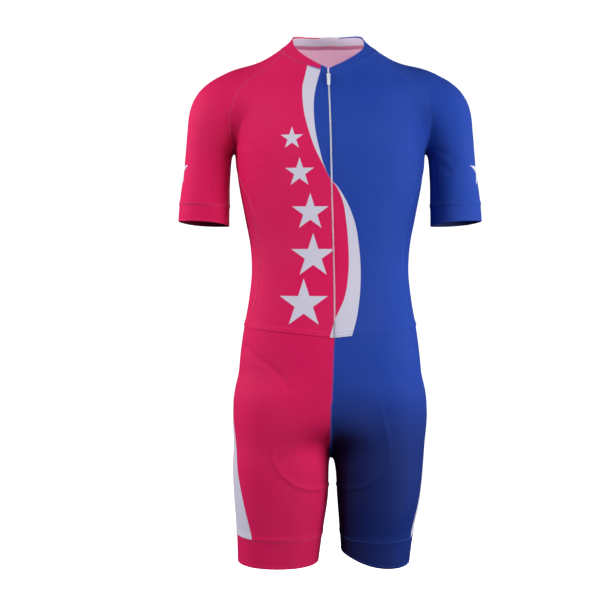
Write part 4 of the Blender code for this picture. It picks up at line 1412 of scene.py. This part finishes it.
pull = tab("pull_tab", PULL_WIDTH, PULL_BAR / 2, -PULL_LENGTH, PULL_THICKNESS, PULL_CORNER)
eye_top = -PULL_BAR / 2
eye = tab("pull_eye", PULL_EYE[0], eye_top, eye_top - PULL_EYE[1], EYE_CUTS_THROUGH, EYE_CORNER)
apply_modifier(pull, "BOOLEAN", operation="DIFFERENCE", object=eye)
bpy.data.objects.remove(eye)
apply_modifier(pull, "BEVEL", width=PULL_EDGE * MM, segments=2, limit_method="ANGLE")
pull.data.materials.clear()
pull.data.materials.append(zinc_finish)
settle(pull, "pull", "zip_pull")
print("the pull has", len(pull.data.polygons), "faces")

# %% [markdown]
# ## Studio
#
# The suit is shown before plain white paper, as a shop shows it. The floor is one sheet that curves up into the wall,
# so no line shows where they meet. White paper behind cloth that hangs in soft light is hard to light evenly, so the
# paper glows as bright as white and throws no light on the suit. Round area lamps then model the cloth: a strong one
# from each side, weak ones in front, and two behind that draw the edges.

# %% Floor and wall
def paper():
    """Matt studio paper: nearly white, with a faint tooth, and as evenly bright as overexposed paper is."""
    material, tree, shader = start_finish("studio paper, matt", {"Roughness": 0.9, "Emission Strength": 1.0})
    tooth = node(tree, "TexNoise", {"Vector": (node(tree, "TexCoord"), "Object"), "Scale": 60.0, "Detail": 4.0})
    shade = node(tree, "Mix", {0: (tooth, "Fac"), 6: colour("FBFBFC"), 7: colour("F6F7F9")}, data_type="RGBA")
    for socket in ("Base Color", "Emission Color"):
        tree.links.new(shade.outputs[2], shader.inputs[socket])
    return material


FLOOR, WALL_HEIGHT, FLOOR_CURVE = -1.46, 7, 2.0
bpy.ops.mesh.primitive_plane_add(size=1)
backdrop = bpy.context.object
backdrop.name = backdrop.data.name = "studio_floor"
backdrop.scale, backdrop.location = (14, 9, 1), (0, 0, FLOOR)
apply_place()
edit_where(backdrop, "edges", lambda a, b: min(a.y, b.y) > 1)  # its far edge
bpy.ops.mesh.extrude_region_move(TRANSFORM_OT_translate={"value": (0, 0, WALL_HEIGHT)})
bpy.ops.object.mode_set(mode="OBJECT")
edit_where(backdrop, "edges", lambda a, b: min(a.y, b.y) > 1 and max(a.z, b.z) < FLOOR + 1)  # the fold
bpy.ops.mesh.bevel(offset=FLOOR_CURVE, segments=24)
bpy.ops.object.mode_set(mode="OBJECT")
bpy.ops.object.shade_smooth()
backdrop.data.materials.append(paper())
backdrop.visible_diffuse = backdrop.visible_glossy = False  # the paper is lit for itself, and throws no light back

# %% Lights
def lamp(name, place, aim, size, power):
    """A soft box that faces a point."""
    light = bpy.data.lights.new(name, "AREA")
    light.shape, light.size, light.energy = "DISK", size, power
    made = bpy.data.objects.new(name, light)
    bpy.context.scene.collection.objects.link(made)
    made.location = place
    way = np.array(place) - np.array(aim)
    made.rotation_euler = (math.acos(way[2] / np.linalg.norm(way)), 0, math.atan2(way[1], way[0]) + math.pi / 2)
    return made


MIDDLE = (0, 0, -0.45)
LAMPS = [  # name, place, what it faces, width in metres, watts
    ("right_side", (-2.1, -0.7, 0.35), (0, 0, -0.4), 1.0, 36),
    ("front", (0.3, -1.9, 0.1), (0, 0, -0.3), 1.2, 10),
    ("front_left", (1.45, -1.1, -0.25), (0, 0, -0.35), 1.0, 26),
    ("left_edge", (2.15, 0.58, 0.3), MIDDLE, 1.2, 20),
    ("right_edge", (-2.3, 0.55, 0.35), MIDDLE, 1.2, 22),
    ("top", (0.0, -1.3, 1.7), (0, 0, -0.2), 1.0, 3),
    ("back", (0.4, 2.4, 0.5), MIDDLE, 1.2, 45),
    ("inside", (-0.005, -0.035, -0.11), (0, 0.08, 0.0), 0.08, 0.07),  # stands for light through the thin cloth
]
lamps = {row[0]: lamp(*row) for row in LAMPS}
lamps["inside"].visible_camera = False
print(len(lamps), "lamps,", sum(row[-1] for row in LAMPS), "watts")

# %% The room
world = bpy.data.worlds.new("studio")
bpy.context.scene.world = world
world.use_nodes = True
sky = world.node_tree.nodes["Background"]
sky.inputs["Color"].default_value = colour("FFFFFF")
seen = node(world.node_tree, "LightPath")  # the room looks as pale as the paper, and gives only a little light
strength = node(world.node_tree, "MapRange", {0: (seen, "Is Camera Ray"), 3: 0.04, 4: 1.0})
world.node_tree.links.new(strength.outputs[0], sky.inputs["Strength"])

# %% Camera
camera = bpy.data.objects.new("camera", bpy.data.cameras.new("camera"))
bpy.context.scene.collection.objects.link(camera)
camera.location, camera.rotation_euler = (-0.0533, -2.1, -0.384), (math.radians(90), 0, 0)  # level, and off the middle
camera.data.lens, camera.data.sensor_width, camera.data.shift_y = 70.8, 36, -0.0633
bpy.context.scene.camera = camera
bpy.context.scene.view_settings.view_transform = "Standard"  # printed colours stay as their hex values say
